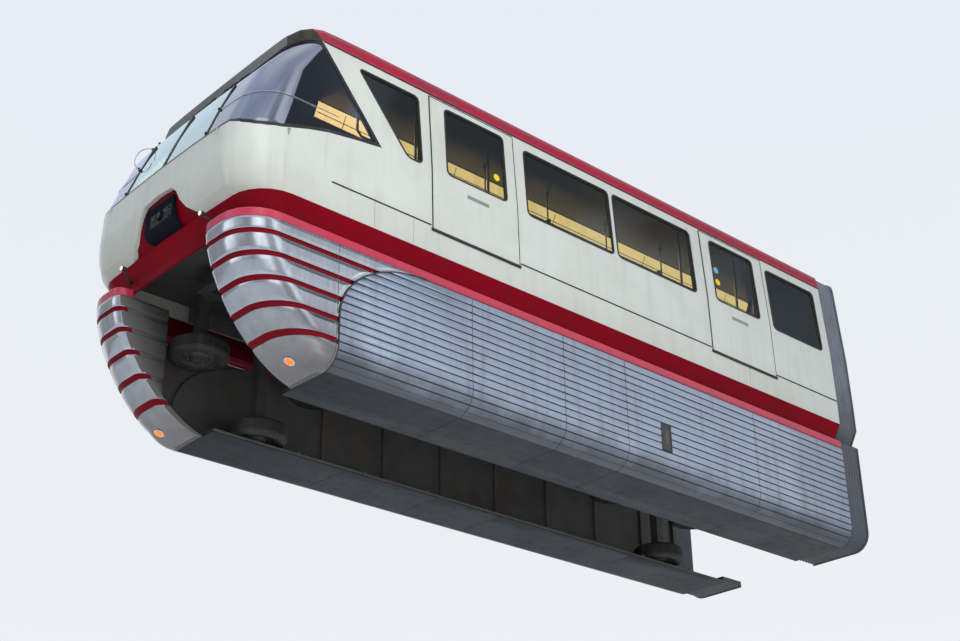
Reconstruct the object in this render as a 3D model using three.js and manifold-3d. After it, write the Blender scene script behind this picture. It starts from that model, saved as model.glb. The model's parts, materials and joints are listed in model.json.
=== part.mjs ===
// Lead car of a straddle-beam monorail train. Millimetres: +X to the nose, +Y to the left, +Z up.
// The origin lies on the beam's running surface, on its centre line, midway between the two bogies.
import * as THREE from 'three';
import { mergeVertices } from 'three/addons/utils/BufferGeometryUtils.js';
import Module from 'manifold-3d';

const wasm = await Module();
wasm.setup();

// Car body
const seat = 0.3;                 // gap left between two pieces that touch
const over = 20;                  // how far a cutting solid reaches past what it cuts
const sideSpan = [1300, 1700];    // Y range that holds a whole side face
const noseSpan = [4600, 5300];    // X range that holds the nose's front
const rearEnd = -4370;            // rear end of the body, where the bellows start
const bellowsLength = 390;
const bodyBottom = 370;           // lower edge of the painted side
const wallTop = 2440;
const wall = 60;                  // thickness of a side wall
const wallLine = [                // outer face of the side, from bottom to top
  { z: bodyBottom, y: 1560 },
  { z: 700, y: 1560 },
  { z: 1400, y: 1545 },
  { z: wallTop, y: 1478 },
];
const noseShape = [               // outer face of the nose: foremost point and corner radius at each height
  { z: bodyBottom, front: 5000, corner: 430 },
  { z: 450, front: 5090, corner: 440 },
  { z: 600, front: 5140, corner: 450 },
  { z: 800, front: 5160, corner: 450 },
  { z: 1150, front: 5150, corner: 450 },
  { z: 1550, front: 5000, corner: 420 },
  { z: 1940, front: 4840, corner: 380 },
  { z: 2250, front: 4595, corner: 330 },
  { z: wallTop, front: 4430, corner: 300 },
];
const noseSkin = 50;
const noseBack = 3800;            // joint between the side wall and the nose
const noseBulge = 24;             // how far the nose's middle stands ahead of its corners
const beltLine = [                // lower edge of the cab's glass, from the front to the rear
  { x: 5300, z: 1150 },
  { x: 5110, z: 1148 },
  { x: 5050, z: 1098 },
  { x: 4970, z: 1070 },
  { x: 4860, z: 1066 },
  { x: 4700, z: 1096 },
  { x: 4380, z: 1208 },
  { x: 4130, z: 1279 },
  { x: 3780, z: 1339 },
  { x: 3430, z: 1390 },
];
const pillarSlope = 0.735;        // how far the cab glass's rear edge leans forward for each mm of height
const noseArch = [                // opening above the coupler, Y and Z from its foot to its crown
  [740, 300], [690, 365], [590, 415], [490, 490], [410, 600], [350, 720], [260, 800], [0, 825],
];
const archPanel = { face: 55, thick: 25, half: 800, top: 960, back: 4500 };   // panel behind the arch
const archFoot = { face: 20, half: 590, top: 385, rear: 4700, front: 4966, bottom: 340, step: 385 };
const couplerHousing = { half: 275, face: 5135, chamfer: 5080, bottom: 395, lip: 445, top: 740, gap: 2 };

// Cab glass
const cabFrame = { bottom: 1020, depth: 45, edge: 40, back: 4200 };
const cabGlass = { face: 8, back: 20 };
const centrePost = 22;            // half-width
const sidePost = [768, 800];

// Roof
const cantHeight = 110;           // upright band along the roof's edge
const roofSkin = 50;
const roofLine = [                // crown height along the car
  { x: rearEnd, crown: 2850 },
  { x: 3600, crown: 2850 },
  { x: 4000, crown: 2815 },
  { x: 4180, crown: 2770 },
  { x: 4300, crown: 2715 },
  { x: 4390, crown: 2645 },
  { x: 4450, crown: 2580 },
];
const roofCorner = 300;
const roofPower = 0.85;           // fullness of the roof's arch
const roofStep = 8;               // how far the arch starts inside the upright band
const roofSteps = 18;
const roofLip = 90;               // thickness of the roof's front edge

// Windows and doors
const sill = 670;
const doorTop = 2405;
const doorGap = 5;
const doorLeaf = 50;
const doorProud = 8;
const pane = 10;
const windowSetBack = 20;
const doorGlassSetBack = 10;
const doors = [
  { name: 'front', rear: 1470, front: 2740, glass: [1630, 2520] },
  { name: 'rear', rear: -3070, front: -1820, glass: [-2870, -2000] },
];
const doorGlassHeights = [1435, 2325];
const windowHeights = [1400, 2300];
const windows = [
  { name: 'quarter', outline: [[2875, 1425], [3075, 1425], [3725, 2310], [2895, 2310]] },
  { name: 'middle', outline: boxOutline(-1620, 1300, ...windowHeights) },
  { name: 'rear', outline: boxOutline(-4200, -3160, ...windowHeights) },
];
const windowCorner = 70;

// Waist groove, skirts and bow fairings
const groove = 100;               // depth of the waist groove
const grooveTop = 190;
const bandBottom = 100;
const bandSkin = { upright: 25, slope: 35 };
const capTop = 165;
const capEdge = 125;              // top of the ledge's upright edge
const capBottom = 30;
const capSlope = 85;
const skirtSide = 1545;
const skirtBottom = -1290;
const skirtRound = 250;
const skirtInner = 620;
const skirtSkin = 40;
const bowInner = 800;             // inner side of a bow fairing, beside the beam
const bowFront = 5085;
const bowHeel = 3980;             // where the fairing's front reaches its flat bottom
const bowCorner = 430;
const bowPower = 1.6;             // fullness of the fairing's raked front
const bowNib = { radius: 120, least: 12 };        // inner front corner
const bowDeck = { x: 4450, y: 1400 };             // opening in the fairing's top and inner side
const bowLevels = [skirtBottom, -1272, -1220, -1140, -1040, -880, -680, -460, -240];
const bowJoint = { x: 2790, z: -750, long: 1120, high: 780 };   // quarter ellipse between skirt and fairing
const panelGap = 3;

// Floor and interior
const floorTop = 660;
const floorBottom = 560;
const floorFront = 5020;
const floorCorner = 400;
const equipmentPad = { half: 400, long: 1800, bottom: 540 };          // under the floor, between the bogies
const well = { long: 1240, wide: 1000, top: 1120, skin: 40, gap: 2 };
const bulkhead = { thick: 50, doorway: 380, top: 2360, gap: 1 };
const benchWidth = 2780;
const seatHeight = 1160;
const benchTop = 1640;
const benchBack = 130;
const benchSeat = 500;
const benches = [                 // x is the middle of the back; the seats lie behind and ahead of it
  { name: 'bench_front', x: 3415, behind: true, ahead: false },
  { name: 'bench_middle_front', x: 785, behind: true, ahead: true },
  { name: 'bench_middle_rear', x: -1135, behind: true, ahead: true },
  { name: 'bench_rear', x: -3815, behind: false, ahead: true },
];
const driverSeat = {
  half: 240,
  side: [[4080, floorTop + seat], [4360, floorTop + seat], [4360, 1020], [4500, 1040], [4500, 1160],
    [4120, 1130], [4060, 1720], [3960, 1720], [4000, 1020], [4080, 1000]],
};
const driverConsole = {
  half: 700,
  top: 1200,
  side: [[4720, floorTop + seat], [5020, floorTop + seat], [5020, 1120], [4880, 1120], [4680, 1040],
    [4680, 960], [4720, 940]],
};
const bellowsBand = { outer: 25, inner: 95 };     // faces of the bellows, in from the body's outline

// Bogies
const bogies = [
  { name: 'front', x: 3250, motorSide: -1 },
  { name: 'rear', x: -3250, motorSide: 1 },
];
const axleHeight = 500;
const journalGap = 0.8;           // running gap of a load axle in its bearings
const sideBeam = { y: 560, width: 120, bottom: 240, top: 440, long: 2000 };
const crossBeam = { along: 940, width: 120 };
const bearing = { half: 110, top: 552 };
const airSpring = { along: 330, radius: 105, gap: 0.5 };
const motor = { near: 1000, far: 1520, half: 290, bottom: 170, top: 470 };
const guideY = 790;               // guide wheel axis from the centre plane
const spindle = { radius: 45, gap: 1.5, flange: 70, tail: 30, rest: 0.5 };
const post = { width: 120, step: 20 };
const guideWheels = [
  { name: 'upper_front', along: 800, z: -350 },
  { name: 'upper_rear', along: -800, z: -350 },
  { name: 'lower', along: 0, z: -1100 },
];
const guideProfile = [            // from the bore outwards
  { r: spindle.radius + spindle.gap, half: 80 },
  { r: 205, half: 80 },
  { r: 290, half: 100 },
  { r: 333, half: 66 },
];
const axleRadius = 55;
const loadProfile = [             // half of the twin wheel, from the axle's end to its middle
  { r: 0, y: 600 },
  { r: axleRadius, y: 600 },
  { r: axleRadius, y: 400 },
  { r: 160, y: 392 },
  { r: 250, y: 372 },
  { r: 440, y: 378 },
  { r: 500, y: 330 },
  { r: 500, y: 116 },
  { r: 440, y: 68 },
  { r: 160, y: 68 },
];

const paint = {
  cream: { color: 0xcfd2ca, roughness: 0.35, metalness: 0 },
  darkRed: { color: 0x7d0019, roughness: 0.35, metalness: 0 },
  brightRed: { color: 0xc8324b, roughness: 0.3, metalness: 0 },
  ribbed: { color: 0xaab9d2, roughness: 0.35, metalness: 0.8 },
  polished: { color: 0xc3cad6, roughness: 0.2, metalness: 0.9 },
  bellows: { color: 0x696c78, roughness: 0.8, metalness: 0 },
  rubber: { color: 0x1b1b1d, roughness: 0.85, metalness: 0 },
  dark: { color: 0x2a2c30, roughness: 0.6, metalness: 0.2 },
  steel: { color: 0x4a4e55, roughness: 0.55, metalness: 0.7 },
  glass: { color: 0x5a6a70, roughness: 0.08, metalness: 0 },
  seatCloth: { color: 0xe1be5a, roughness: 0.7, metalness: 0 },
};

const car = new THREE.Group();

function boxOutline(x0, x1, z0, z1) {
  return [[x0, z0], [x1, z0], [x1, z1], [x0, z1]];
}

// Value of a column at a position between a table's rows
function along(table, key, at, column) {
  let low = table[0];
  let high = table[table.length - 1];
  for (let i = 0; i + 1 < table.length; i++) {
    const [a, b] = [table[i], table[i + 1]];
    if ((at - a[key]) * (at - b[key]) <= 0) [low, high] = [a, b];
  }
  const share = THREE.MathUtils.clamp((at - low[key]) / (high[key] - low[key]), 0, 1);
  return THREE.MathUtils.lerp(low[column], high[column], share);
}

const sideAt = (z) => along(wallLine, 'z', z, 'y');

// Solids and meshes
function toSolid(geometry) {
  const bare = geometry.index ? geometry.clone() : geometry;
  bare.deleteAttribute('normal');
  bare.deleteAttribute('uv');
  const merged = mergeVertices(bare, 1e-3);
  return new wasm.Manifold(new wasm.Mesh({
    numProp: 3,
    vertProperties: new Float32Array(merged.attributes.position.array),
    triVerts: new Uint32Array(merged.index.array),
  }));
}

function toGeometry(solid) {
  const { vertProperties, triVerts } = solid.getMesh();
  const geometry = new THREE.BufferGeometry();
  geometry.setAttribute('position', new THREE.BufferAttribute(new Float32Array(vertProperties), 3));
  geometry.setIndex(new THREE.BufferAttribute(new Uint32Array(triVerts), 1));
  geometry.computeVertexNormals();
  return geometry;
}

// The same shape on the other side of the centre plane
function mirrored(solid) {
  const geometry = toGeometry(solid);
  geometry.scale(1, -1, 1);
  geometry.setIndex([...geometry.index.array].reverse());
  return toSolid(geometry);
}

function addPart(name, solid, finish) {
  const mesh = new THREE.Mesh(toGeometry(solid), new THREE.MeshStandardMaterial(finish));
  mesh.name = name;
  car.add(mesh);
}

function addPair(name, leftSolid, finish) {
  addPart(`${name}_left`, leftSolid, finish);
  addPart(`${name}_right`, mirrored(leftSolid), finish);
}

const unite = (solids) => solids.reduce((whole, piece) => whole.add(piece));

function box(x, y, z) {
  const geometry = new THREE.BoxGeometry(x[1] - x[0], y[1] - y[0], z[1] - z[0]);
  geometry.translate((x[0] + x[1]) / 2, (y[0] + y[1]) / 2, (z[0] + z[1]) / 2);
  return toSolid(geometry);
}

function shapeOf(points, radius = 0) {
  const corners = points.map(([u, v]) => new THREE.Vector2(u, v));
  if (radius === 0) return new THREE.Shape(corners);
  const shape = new THREE.Shape();
  corners.forEach((corner, i) => {
    const before = corners[(i + corners.length - 1) % corners.length];
    const after = corners[(i + 1) % corners.length];
    const start = corner.clone().add(before.clone().sub(corner).setLength(radius));
    const end = corner.clone().add(after.clone().sub(corner).setLength(radius));
    if (i === 0) shape.moveTo(start.x, start.y);
    else shape.lineTo(start.x, start.y);
    shape.quadraticCurveTo(corner.x, corner.y, end.x, end.y);
  });
  shape.closePath();
  return shape;
}

function extruded(shape, depth) {
  return new THREE.ExtrudeGeometry(shape, { depth, bevelEnabled: false, curveSegments: 4 });
}

// Outline in X and Z, drawn out along Y
function prismY(points, y0, y1, radius = 0) {
  const geometry = extruded(shapeOf(points, radius), y1 - y0);
  geometry.rotateX(Math.PI / 2);
  geometry.translate(0, y1, 0);
  return toSolid(geometry);
}

// Outline in Y and Z, drawn out along X
function prismX(points, x0, x1) {
  const geometry = extruded(shapeOf(points), x1 - x0);
  const [x, y, z] = [[1, 0, 0], [0, 1, 0], [0, 0, 1]].map((axis) => new THREE.Vector3(...axis));
  geometry.applyMatrix4(new THREE.Matrix4().makeBasis(y, z, x));
  geometry.translate(x0, 0, 0);
  return toSolid(geometry);
}

// Closed body through rings of points; place turns a ring's two coordinates and its station into a point
function loft(rings, place) {
  const count = rings[0].points.length;
  const positions = rings.flatMap(({ at, points }) => points.flatMap(([u, v]) => place(u, v, at)));
  const faces = [];
  for (let r = 0; r + 1 < rings.length; r++) {
    for (let i = 0; i < count; i++) {
      const [a, b] = [r * count + i, r * count + (i + 1) % count];
      faces.push(a, b, b + count, a, b + count, a + count);
    }
  }
  const cap = (ring) => THREE.ShapeUtils.triangulateShape(
    ring.points.map(([u, v]) => new THREE.Vector2(u, v)), []);
  const last = (rings.length - 1) * count;
  cap(rings[0]).forEach(([a, b, c]) => faces.push(c, b, a));
  cap(rings[rings.length - 1]).forEach(([a, b, c]) => faces.push(last + a, last + b, last + c));
  const geometry = new THREE.BufferGeometry();
  geometry.setAttribute('position', new THREE.Float32BufferAttribute(positions, 3));
  geometry.setIndex(faces);
  return toSolid(geometry);
}

const levelPlace = (x, y, z) => [x, y, z];
const stationPlace = (y, z, x) => [x, y, z];

function arcPoints(centreX, centreY, radiusX, radiusY, from, to, steps) {
  return Array.from({ length: steps + 1 }, (_, i) => {
    const angle = from + (to - from) * i / steps;
    return [centreX + radiusX * Math.cos(angle), centreY + radiusY * Math.sin(angle)];
  });
}

// Plan of the body at one height: square at the back, bulged in front, with round corners
function plan(front, side, corner, back) {
  const shoulder = front - noseBulge;
  const flat = side - corner;
  const middle = [-0.5, 0, 0.5].map((share) => [front - noseBulge * share * share, share * flat]);
  return [
    [back, -side],
    ...arcPoints(shoulder - corner, -flat, corner, corner, -Math.PI / 2, 0, 6),
    ...middle,
    ...arcPoints(shoulder - corner, flat, corner, corner, 0, Math.PI / 2, 6),
    [back, side],
  ];
}

function noseRing(z, inset, back, shift = 0) {
  const front = along(noseShape, 'z', z, 'front') - inset;
  const corner = Math.max(along(noseShape, 'z', z, 'corner') - inset, 20);
  return { at: z + shift, points: plan(front, sideAt(z) - inset, corner, back) };
}

function noseBody(inset, z0, z1, back = noseBack) {
  const levels = noseShape.map((row) => row.z).filter((z) => z > z0 && z < z1);
  return loft([z0, ...levels, z1].map((z) => noseRing(z, inset, back)), levelPlace);
}

function noseShell(outer, inner, z0, z1, back = noseBack) {
  return noseBody(outer, z0, z1, back).subtract(noseBody(inner, z0 - 1, z1 + 1, back - 1));
}

// Outline of the cab's glazed part seen from the side, drawn in from its edges
function cabGlazing(margin) {
  const corner = beltLine.at(-1);
  const lean = margin * Math.hypot(1, pillarSlope);
  const edge = (z) => corner.x + pillarSlope * (z - corner.z) + lean;
  const lower = beltLine.slice(0, -1).map(({ x, z }) => [x, z + margin]);
  const top = wallTop - margin;
  const foot = corner.z + margin;
  return [...lower.reverse(), [beltLine[0].x, top], [edge(top), top], [edge(foot), foot]].reverse();
}

// Pane that leans with the side wall, inside an outline seen from the side
function sidePane(outline, radius, faceY) {
  const [low, high] = [wallLine[2], wallLine[3]];
  const lean = (high.y - low.y) / (high.z - low.z);
  const geometry = toGeometry(prismY(outline, faceY - pane, faceY, radius));
  const shear = new THREE.Matrix4().set(1, 0, 0, 0, 0, 1, lean, -lean * low.z, 0, 0, 1, 0, 0, 0, 0, 1);
  geometry.applyMatrix4(shear);
  return toSolid(geometry);
}

// Outline with every edge moved inwards; the outline is convex and runs anticlockwise
function drawnIn(outline, margin) {
  const points = outline.map(([x, z]) => new THREE.Vector2(x, z));
  return points.map((corner, i) => {
    const incoming = corner.clone().sub(points[(i + points.length - 1) % points.length]).normalize();
    const outgoing = points[(i + 1) % points.length].clone().sub(corner).normalize();
    const inward = new THREE.Vector2(-incoming.y - outgoing.y, incoming.x + outgoing.x);
    const reach = margin / (1 + incoming.dot(outgoing));
    return [corner.x + inward.x * reach, corner.y + inward.y * reach];
  });
}

function addSideWalls() {
  const outer = wallLine.map(({ y, z }) => [y, z]);
  const inner = wallLine.map(({ y, z }) => [y - wall, z]).reverse();
  const corner = beltLine.at(-1);
  const belt = along([...beltLine].reverse(), 'x', noseBack, 'z');
  const pillarTop = corner.x + pillarSlope * (wallTop - corner.z);
  const outline = [
    [rearEnd, bodyBottom], [noseBack - seat, bodyBottom], [noseBack - seat, belt], [corner.x, corner.z],
    [pillarTop, wallTop], [rearEnd, wallTop],
  ];
  const blank = prismX([...inner, ...outer].reverse(), rearEnd, pillarTop + over);
  let side = blank.intersect(prismY(outline, ...sideSpan));
  for (const door of doors) {
    side = side.subtract(prismY(boxOutline(door.rear, door.front, sill, doorTop), ...sideSpan));
  }
  for (const window of windows) {
    side = side.subtract(prismY(window.outline, ...sideSpan, windowCorner));
    const glass = sidePane(drawnIn(window.outline, seat), windowCorner, wallLine[2].y - windowSetBack);
    addPair(`${window.name}_window`, glass, paint.glass);
  }
  addPair('side_wall', side, paint.cream);
}

function addDoors() {
  const bottom = sill + seat;
  const top = doorTop - doorGap;
  const outer = [bottom, wallLine[1].z, wallLine[2].z, top].map((z) => [sideAt(z) + doorProud, z]);
  const inner = outer.map(([y, z]) => [y - doorLeaf, z]).reverse();
  for (const door of doors) {
    const leaf = prismX([...inner, ...outer].reverse(), door.rear + doorGap, door.front - doorGap);
    const outline = boxOutline(...door.glass, ...doorGlassHeights);
    const glass = sidePane(drawnIn(outline, seat), windowCorner, wallLine[2].y - doorGlassSetBack);
    addPair(`${door.name}_door`, leaf.subtract(prismY(outline, ...sideSpan, windowCorner)), paint.cream);
    addPair(`${door.name}_door_glass`, glass, paint.glass);
  }
}

function roofSection(halfWidth, crown, bottom, inset) {
  const shoulder = wallTop + cantHeight;
  const half = halfWidth - inset;
  const rise = crown - inset - shoulder;
  const bend = (value) => Math.sign(value) * Math.abs(value) ** roofPower;
  const arch = Array.from({ length: roofSteps + 1 }, (_, i) => {
    const angle = Math.PI * i / roofSteps;
    return [(half - roofStep) * bend(Math.cos(angle)), shoulder + rise * bend(Math.sin(angle))];
  });
  return [[-half, bottom], [half, bottom], ...arch];
}

function roofBody(inset, bottom, start, end) {
  const side = wallLine[3].y;
  const middle = roofLine.filter(({ x }) => x > start && x < end).map(({ x }) => x);
  const rings = [start, ...middle, end].map((x) => {
    const front = roofLine.at(-1).x;
    const reach = THREE.MathUtils.clamp(x - (front - roofCorner), 0, roofCorner);
    const halfWidth = side - roofCorner + Math.sqrt(roofCorner ** 2 - reach ** 2);
    return { at: x, points: roofSection(halfWidth, along(roofLine, 'x', x, 'crown'), bottom, inset) };
  });
  return loft(rings, stationPlace);
}

function addRoof() {
  const front = roofLine.at(-1).x;
  const shell = roofBody(0, wallTop + seat, rearEnd, front);
  const room = roofBody(roofSkin, wallTop - over, rearEnd - over, front - roofLip);
  addPart('roof', shell.subtract(room), paint.cream);
}

function addNose() {
  const outline = [
    ...beltLine.map(({ x, z }) => [x, z]), [beltLine.at(-1).x, wallTop], [beltLine[0].x, wallTop],
  ].reverse();
  const arch = [...noseArch, ...noseArch.slice(0, -1).reverse().map(([y, z]) => [-y, z])];
  const shell = noseShell(0, noseSkin, bodyBottom, noseShape[5].z)
    .subtract(prismY(outline, -sideSpan[1], sideSpan[1]))
    .subtract(prismX(arch, ...noseSpan));
  addPart('nose_shell', shell, paint.cream);
}

function addCabGlass() {
  const back = beltLine.at(-1).x - over;
  const heights = [cabFrame.bottom, wallTop];
  const posts = [[-centrePost, centrePost], sidePost, [-sidePost[1], -sidePost[0]]];
  const frame = noseShell(0, cabFrame.depth, ...heights, back)
    .intersect(prismY(cabGlazing(seat), -sideSpan[1], sideSpan[1]));
  let opening = prismY(cabGlazing(cabFrame.edge), -sideSpan[1], sideSpan[1]);
  for (const span of posts) opening = opening.subtract(box([cabFrame.back, noseSpan[1]], span, heights));
  addPart('windscreen_frame', frame.subtract(opening), paint.dark);
  const glass = noseShell(cabGlass.face, cabGlass.back, ...heights, back)
    .intersect(prismY(cabGlazing(cabFrame.edge + seat), 0, sideSpan[1]));
  const front = box([cabFrame.back, noseSpan[1]], [centrePost + seat, sidePost[0] - seat], heights);
  const side = box([back, noseSpan[1]], [sidePost[1] + seat, sideSpan[1]], heights);
  addPair('windscreen', glass.intersect(front), paint.glass);
  addPair('cab_side_glass', glass.intersect(side), paint.glass);
}

// Dark red band under the painted side, round the nose, with the panel behind the nose's arch
function addValance() {
  const ring = (z, inset, back) => noseRing(bodyBottom, inset, back, z - bodyBottom);
  const outer = loft([
    ring(bandBottom, groove, rearEnd), ring(grooveTop, groove, rearEnd), ring(bodyBottom - seat, 0, rearEnd),
  ], levelPlace);
  const inner = loft([
    ring(bandBottom - 1, groove + bandSkin.upright, rearEnd - over),
    ring(grooveTop + 10, groove + bandSkin.upright, rearEnd - over),
    ring(bodyBottom + 1, bandSkin.slope, rearEnd - over),
  ], levelPlace);
  const panelBack = archPanel.face + archPanel.thick;
  const panel = noseShell(archPanel.face, panelBack, bodyBottom + 1, archPanel.top, archPanel.back)
    .intersect(box(noseSpan, [-archPanel.half, archPanel.half], [bodyBottom, archPanel.top]));
  const across = [-archFoot.half, archFoot.half];
  const tie = noseShell(archFoot.face, panelBack, bodyBottom + 1, archFoot.top, archPanel.back)
    .intersect(box(noseSpan, across, [bodyBottom, archFoot.top]));
  const foot = box([archFoot.rear, archFoot.front], across, [archFoot.bottom, archFoot.step]);
  addPart('waist_valance', unite([outer.subtract(inner), panel, tie, foot]), paint.darkRed);
}

function bowFrontAt(z) {
  const depth = THREE.MathUtils.clamp((capBottom - z) / (capBottom - skirtBottom), 0, 1);
  return bowHeel + (bowFront - bowHeel) * (1 - depth ** bowPower) ** (1 / bowPower);
}

function skirtSideAt(z) {
  const drop = Math.max(skirtBottom + skirtRound - z, 0);
  return skirtSide - skirtRound + Math.sqrt(Math.max(skirtRound ** 2 - drop ** 2, 0));
}

// Plan of a left bow fairing at one height
function bowRing(z, inset, back, shift = 0) {
  const front = bowFrontAt(z) - inset;
  const side = skirtSideAt(z) - inset;
  const inner = bowInner + inset;
  const room = bowFrontAt(z) - (bowJoint.x + bowJoint.long) - over;
  const corner = Math.max(Math.min(bowCorner, room) - inset, bowNib.least);
  const nib = Math.min(bowNib.radius, corner);
  return {
    at: z + shift,
    points: [
      [back, inner],
      ...arcPoints(front - nib, inner + nib, nib, nib, -Math.PI / 2, 0, 3),
      ...arcPoints(front - corner, side - corner, corner, corner, 0, Math.PI / 2, 6),
      [back, side],
    ],
  };
}

function bowBody(inset, bottom, top, back) {
  const levels = bowLevels.filter((z) => z > bottom && z < top);
  return loft([bottom, ...levels, top].map((z) => bowRing(z, inset, back)), levelPlace);
}

// Side view of what lies ahead of the joint between skirt and fairing
function aheadOfJoint(gap) {
  const { x, z, long, high } = bowJoint;
  const [top, bottom] = [capTop, skirtBottom - over];
  const curve = arcPoints(x, z, long + gap, high + gap, Math.PI / 2, 0, 10);
  return [...curve.reverse(), [x, top], [noseSpan[1], top], [noseSpan[1], bottom], [x + long + gap, bottom]]
    .reverse();
}

// Rounded lower edge of a skirt, from under the car up its side
function skirtEdge(inset, steps) {
  return arcPoints(skirtSide - skirtRound, skirtBottom + skirtRound, skirtRound - inset, skirtRound - inset,
    -Math.PI / 2, 0, steps);
}

function addSkirts() {
  const top = capBottom - seat;
  const within = skirtBottom + skirtSkin;
  const joint = (gap) => prismY(aheadOfJoint(gap), 0, sideSpan[1]);
  const section = [
    [skirtInner, skirtBottom], ...skirtEdge(0, 6), [skirtSide, top],
    [skirtSide - skirtSkin, top], ...skirtEdge(skirtSkin, 6).reverse(), [skirtInner, within],
  ];
  const skirt = prismX(section, rearEnd, bowJoint.x + bowJoint.long + over).subtract(joint(0));
  addPair('skirt', skirt, paint.ribbed);

  const open = box([bowJoint.x - over, bowDeck.x], [bowInner - over, bowDeck.y], [within, top + over]);
  const shell = bowBody(0, skirtBottom, top, bowJoint.x)
    .subtract(bowBody(skirtSkin, within, top + 1, bowJoint.x - over))
    .subtract(open);
  addPair('bow_fairing', shell.intersect(joint(panelGap)), paint.polished);
}

// Bright red ledge on top of the skirt and the fairing
function addSkirtCaps() {
  const ring = (z, inset) => bowRing(capBottom, inset, rearEnd, z - capBottom);
  const outer = loft([ring(capBottom, 0), ring(capEdge, 0), ring(capTop, capSlope)], levelPlace);
  const within = noseRing(bodyBottom, groove - seat, rearEnd - over).points;
  const hollow = loft([capBottom - 1, capTop + 1].map((z) => ({ at: z, points: within })), levelPlace);
  addPair('skirt_cap', outer.subtract(hollow), paint.brightRed);
}

const turnedOver = (points) => points.map(([y, z]) => [-y, z]).reverse();

function addBellows() {
  const side = (inset) => [
    [skirtInner, skirtBottom + inset], ...skirtEdge(inset, 4),
    [skirtSide - inset, capEdge], [skirtSide - capSlope - inset, grooveTop],
    ...wallLine.map(({ y, z }) => [y - inset, z]),
  ];
  const arch = (inset) => roofSection(wallLine[3].y, roofLine[0].crown, wallTop, inset).slice(2);
  const contour = (inset) => [...side(inset), ...arch(inset), ...turnedOver(side(inset))];
  const band = [...contour(bellowsBand.outer), ...contour(bellowsBand.inner).reverse()];
  addPart('gangway_bellows', prismX(band, rearEnd - bellowsLength, rearEnd - seat), paint.bellows);
}

// Box over a bogie's load wheels, drawn in by a margin
function wellBox(x, margin, bottom) {
  const [long, wide] = [well.long / 2 - margin, well.wide / 2 - margin];
  return box([x - long, x + long], [-wide, wide], [bottom, well.top - margin]);
}

function addFloor() {
  const flooring = plan(floorFront, wallLine[0].y - wall - 2 * seat, floorCorner, rearEnd);
  const pad = [-equipmentPad.long / 2, equipmentPad.long / 2];
  let floor = loft([floorBottom, floorTop].map((z) => ({ at: z, points: flooring })), levelPlace)
    .add(box(pad, [-equipmentPad.half, equipmentPad.half], [equipmentPad.bottom, floorBottom + 1]));
  for (const { name, x } of bogies) {
    floor = floor.subtract(wellBox(x, -seat, bodyBottom));
    const shell = wellBox(x, 0, floorBottom).subtract(wellBox(x, well.skin, bodyBottom));
    addPart(`wheel_well_${name}`, shell, paint.dark);
  }
  addPart('underframe', floor, paint.dark);
}

function addRearBulkhead() {
  const bottom = floorTop + seat;
  const half = sideAt(wallTop) - wall - bulkhead.gap;
  const inside = (z) => [sideAt(z) - wall - bulkhead.gap, z];
  const edge = [bottom, wallLine[1].z, wallLine[2].z, wallTop].map(inside);
  const arch = roofSection(wallLine[3].y, roofLine[0].crown, wallTop, roofSkin + bulkhead.gap).slice(3, -1)
    .filter(([y]) => Math.abs(y) < half);
  const { doorway, top } = bulkhead;
  const notch = [[-doorway, bottom], [-doorway, top], [doorway, top], [doorway, bottom]];
  const outline = [...edge, ...arch, ...turnedOver(edge), ...notch];
  addPart('rear_bulkhead', prismX(outline, rearEnd, rearEnd + bulkhead.thick), paint.cream);
}

function addInterior() {
  const half = benchWidth / 2;
  for (const bench of benches) {
    const back = [bench.x - benchBack / 2, bench.x + benchBack / 2];
    const seats = [bench.behind ? back[0] - benchSeat : back[0], bench.ahead ? back[1] + benchSeat : back[1]];
    let body = box(seats, [-half, half], [floorTop + seat, seatHeight])
      .add(box(back, [-half, half], [seatHeight - 1, benchTop]));
    for (const { x } of bogies) body = body.subtract(wellBox(x, -well.gap, bodyBottom));
    addPart(bench.name, body, paint.seatCloth);
  }
  addPart('driver_seat', prismY(driverSeat.side, -driverSeat.half, driverSeat.half), paint.dark);
  const room = noseBody(archPanel.face, floorBottom, driverConsole.top, archPanel.back);
  const console = prismY(driverConsole.side, -driverConsole.half, driverConsole.half).intersect(room);
  addPart('driver_console', console, paint.dark);
}

function addCouplerHousing() {
  const { half, face, chamfer, bottom, lip, top, gap } = couplerHousing;
  const backAt = (z) => along(noseShape, 'z', z, 'front') - archPanel.face + gap - noseBulge / 20;
  const between = noseShape.map(({ z }) => z).filter((z) => z > bottom && z < top).reverse();
  const back = [top, ...between].map((z) => [backAt(z), z]);
  const outline = [[backAt(bottom), bottom], [chamfer, bottom], [face, lip], [face, top], ...back];
  addPart('coupler_housing', prismY(outline, -half, half), paint.dark);
}

// Ring or shaft turned about the Z axis
function turned(profile, segments) {
  const geometry = new THREE.LatheGeometry(profile.map(([r, z]) => new THREE.Vector2(r, z)), segments);
  geometry.rotateX(Math.PI / 2);
  return toSolid(geometry);
}

function shaft(x, y, z, radius, segments = 16) {
  const geometry = new THREE.CylinderGeometry(radius, radius, z[1] - z[0], segments);
  geometry.rotateX(Math.PI / 2);
  geometry.translate(x, y, (z[0] + z[1]) / 2);
  return toSolid(geometry);
}

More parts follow.
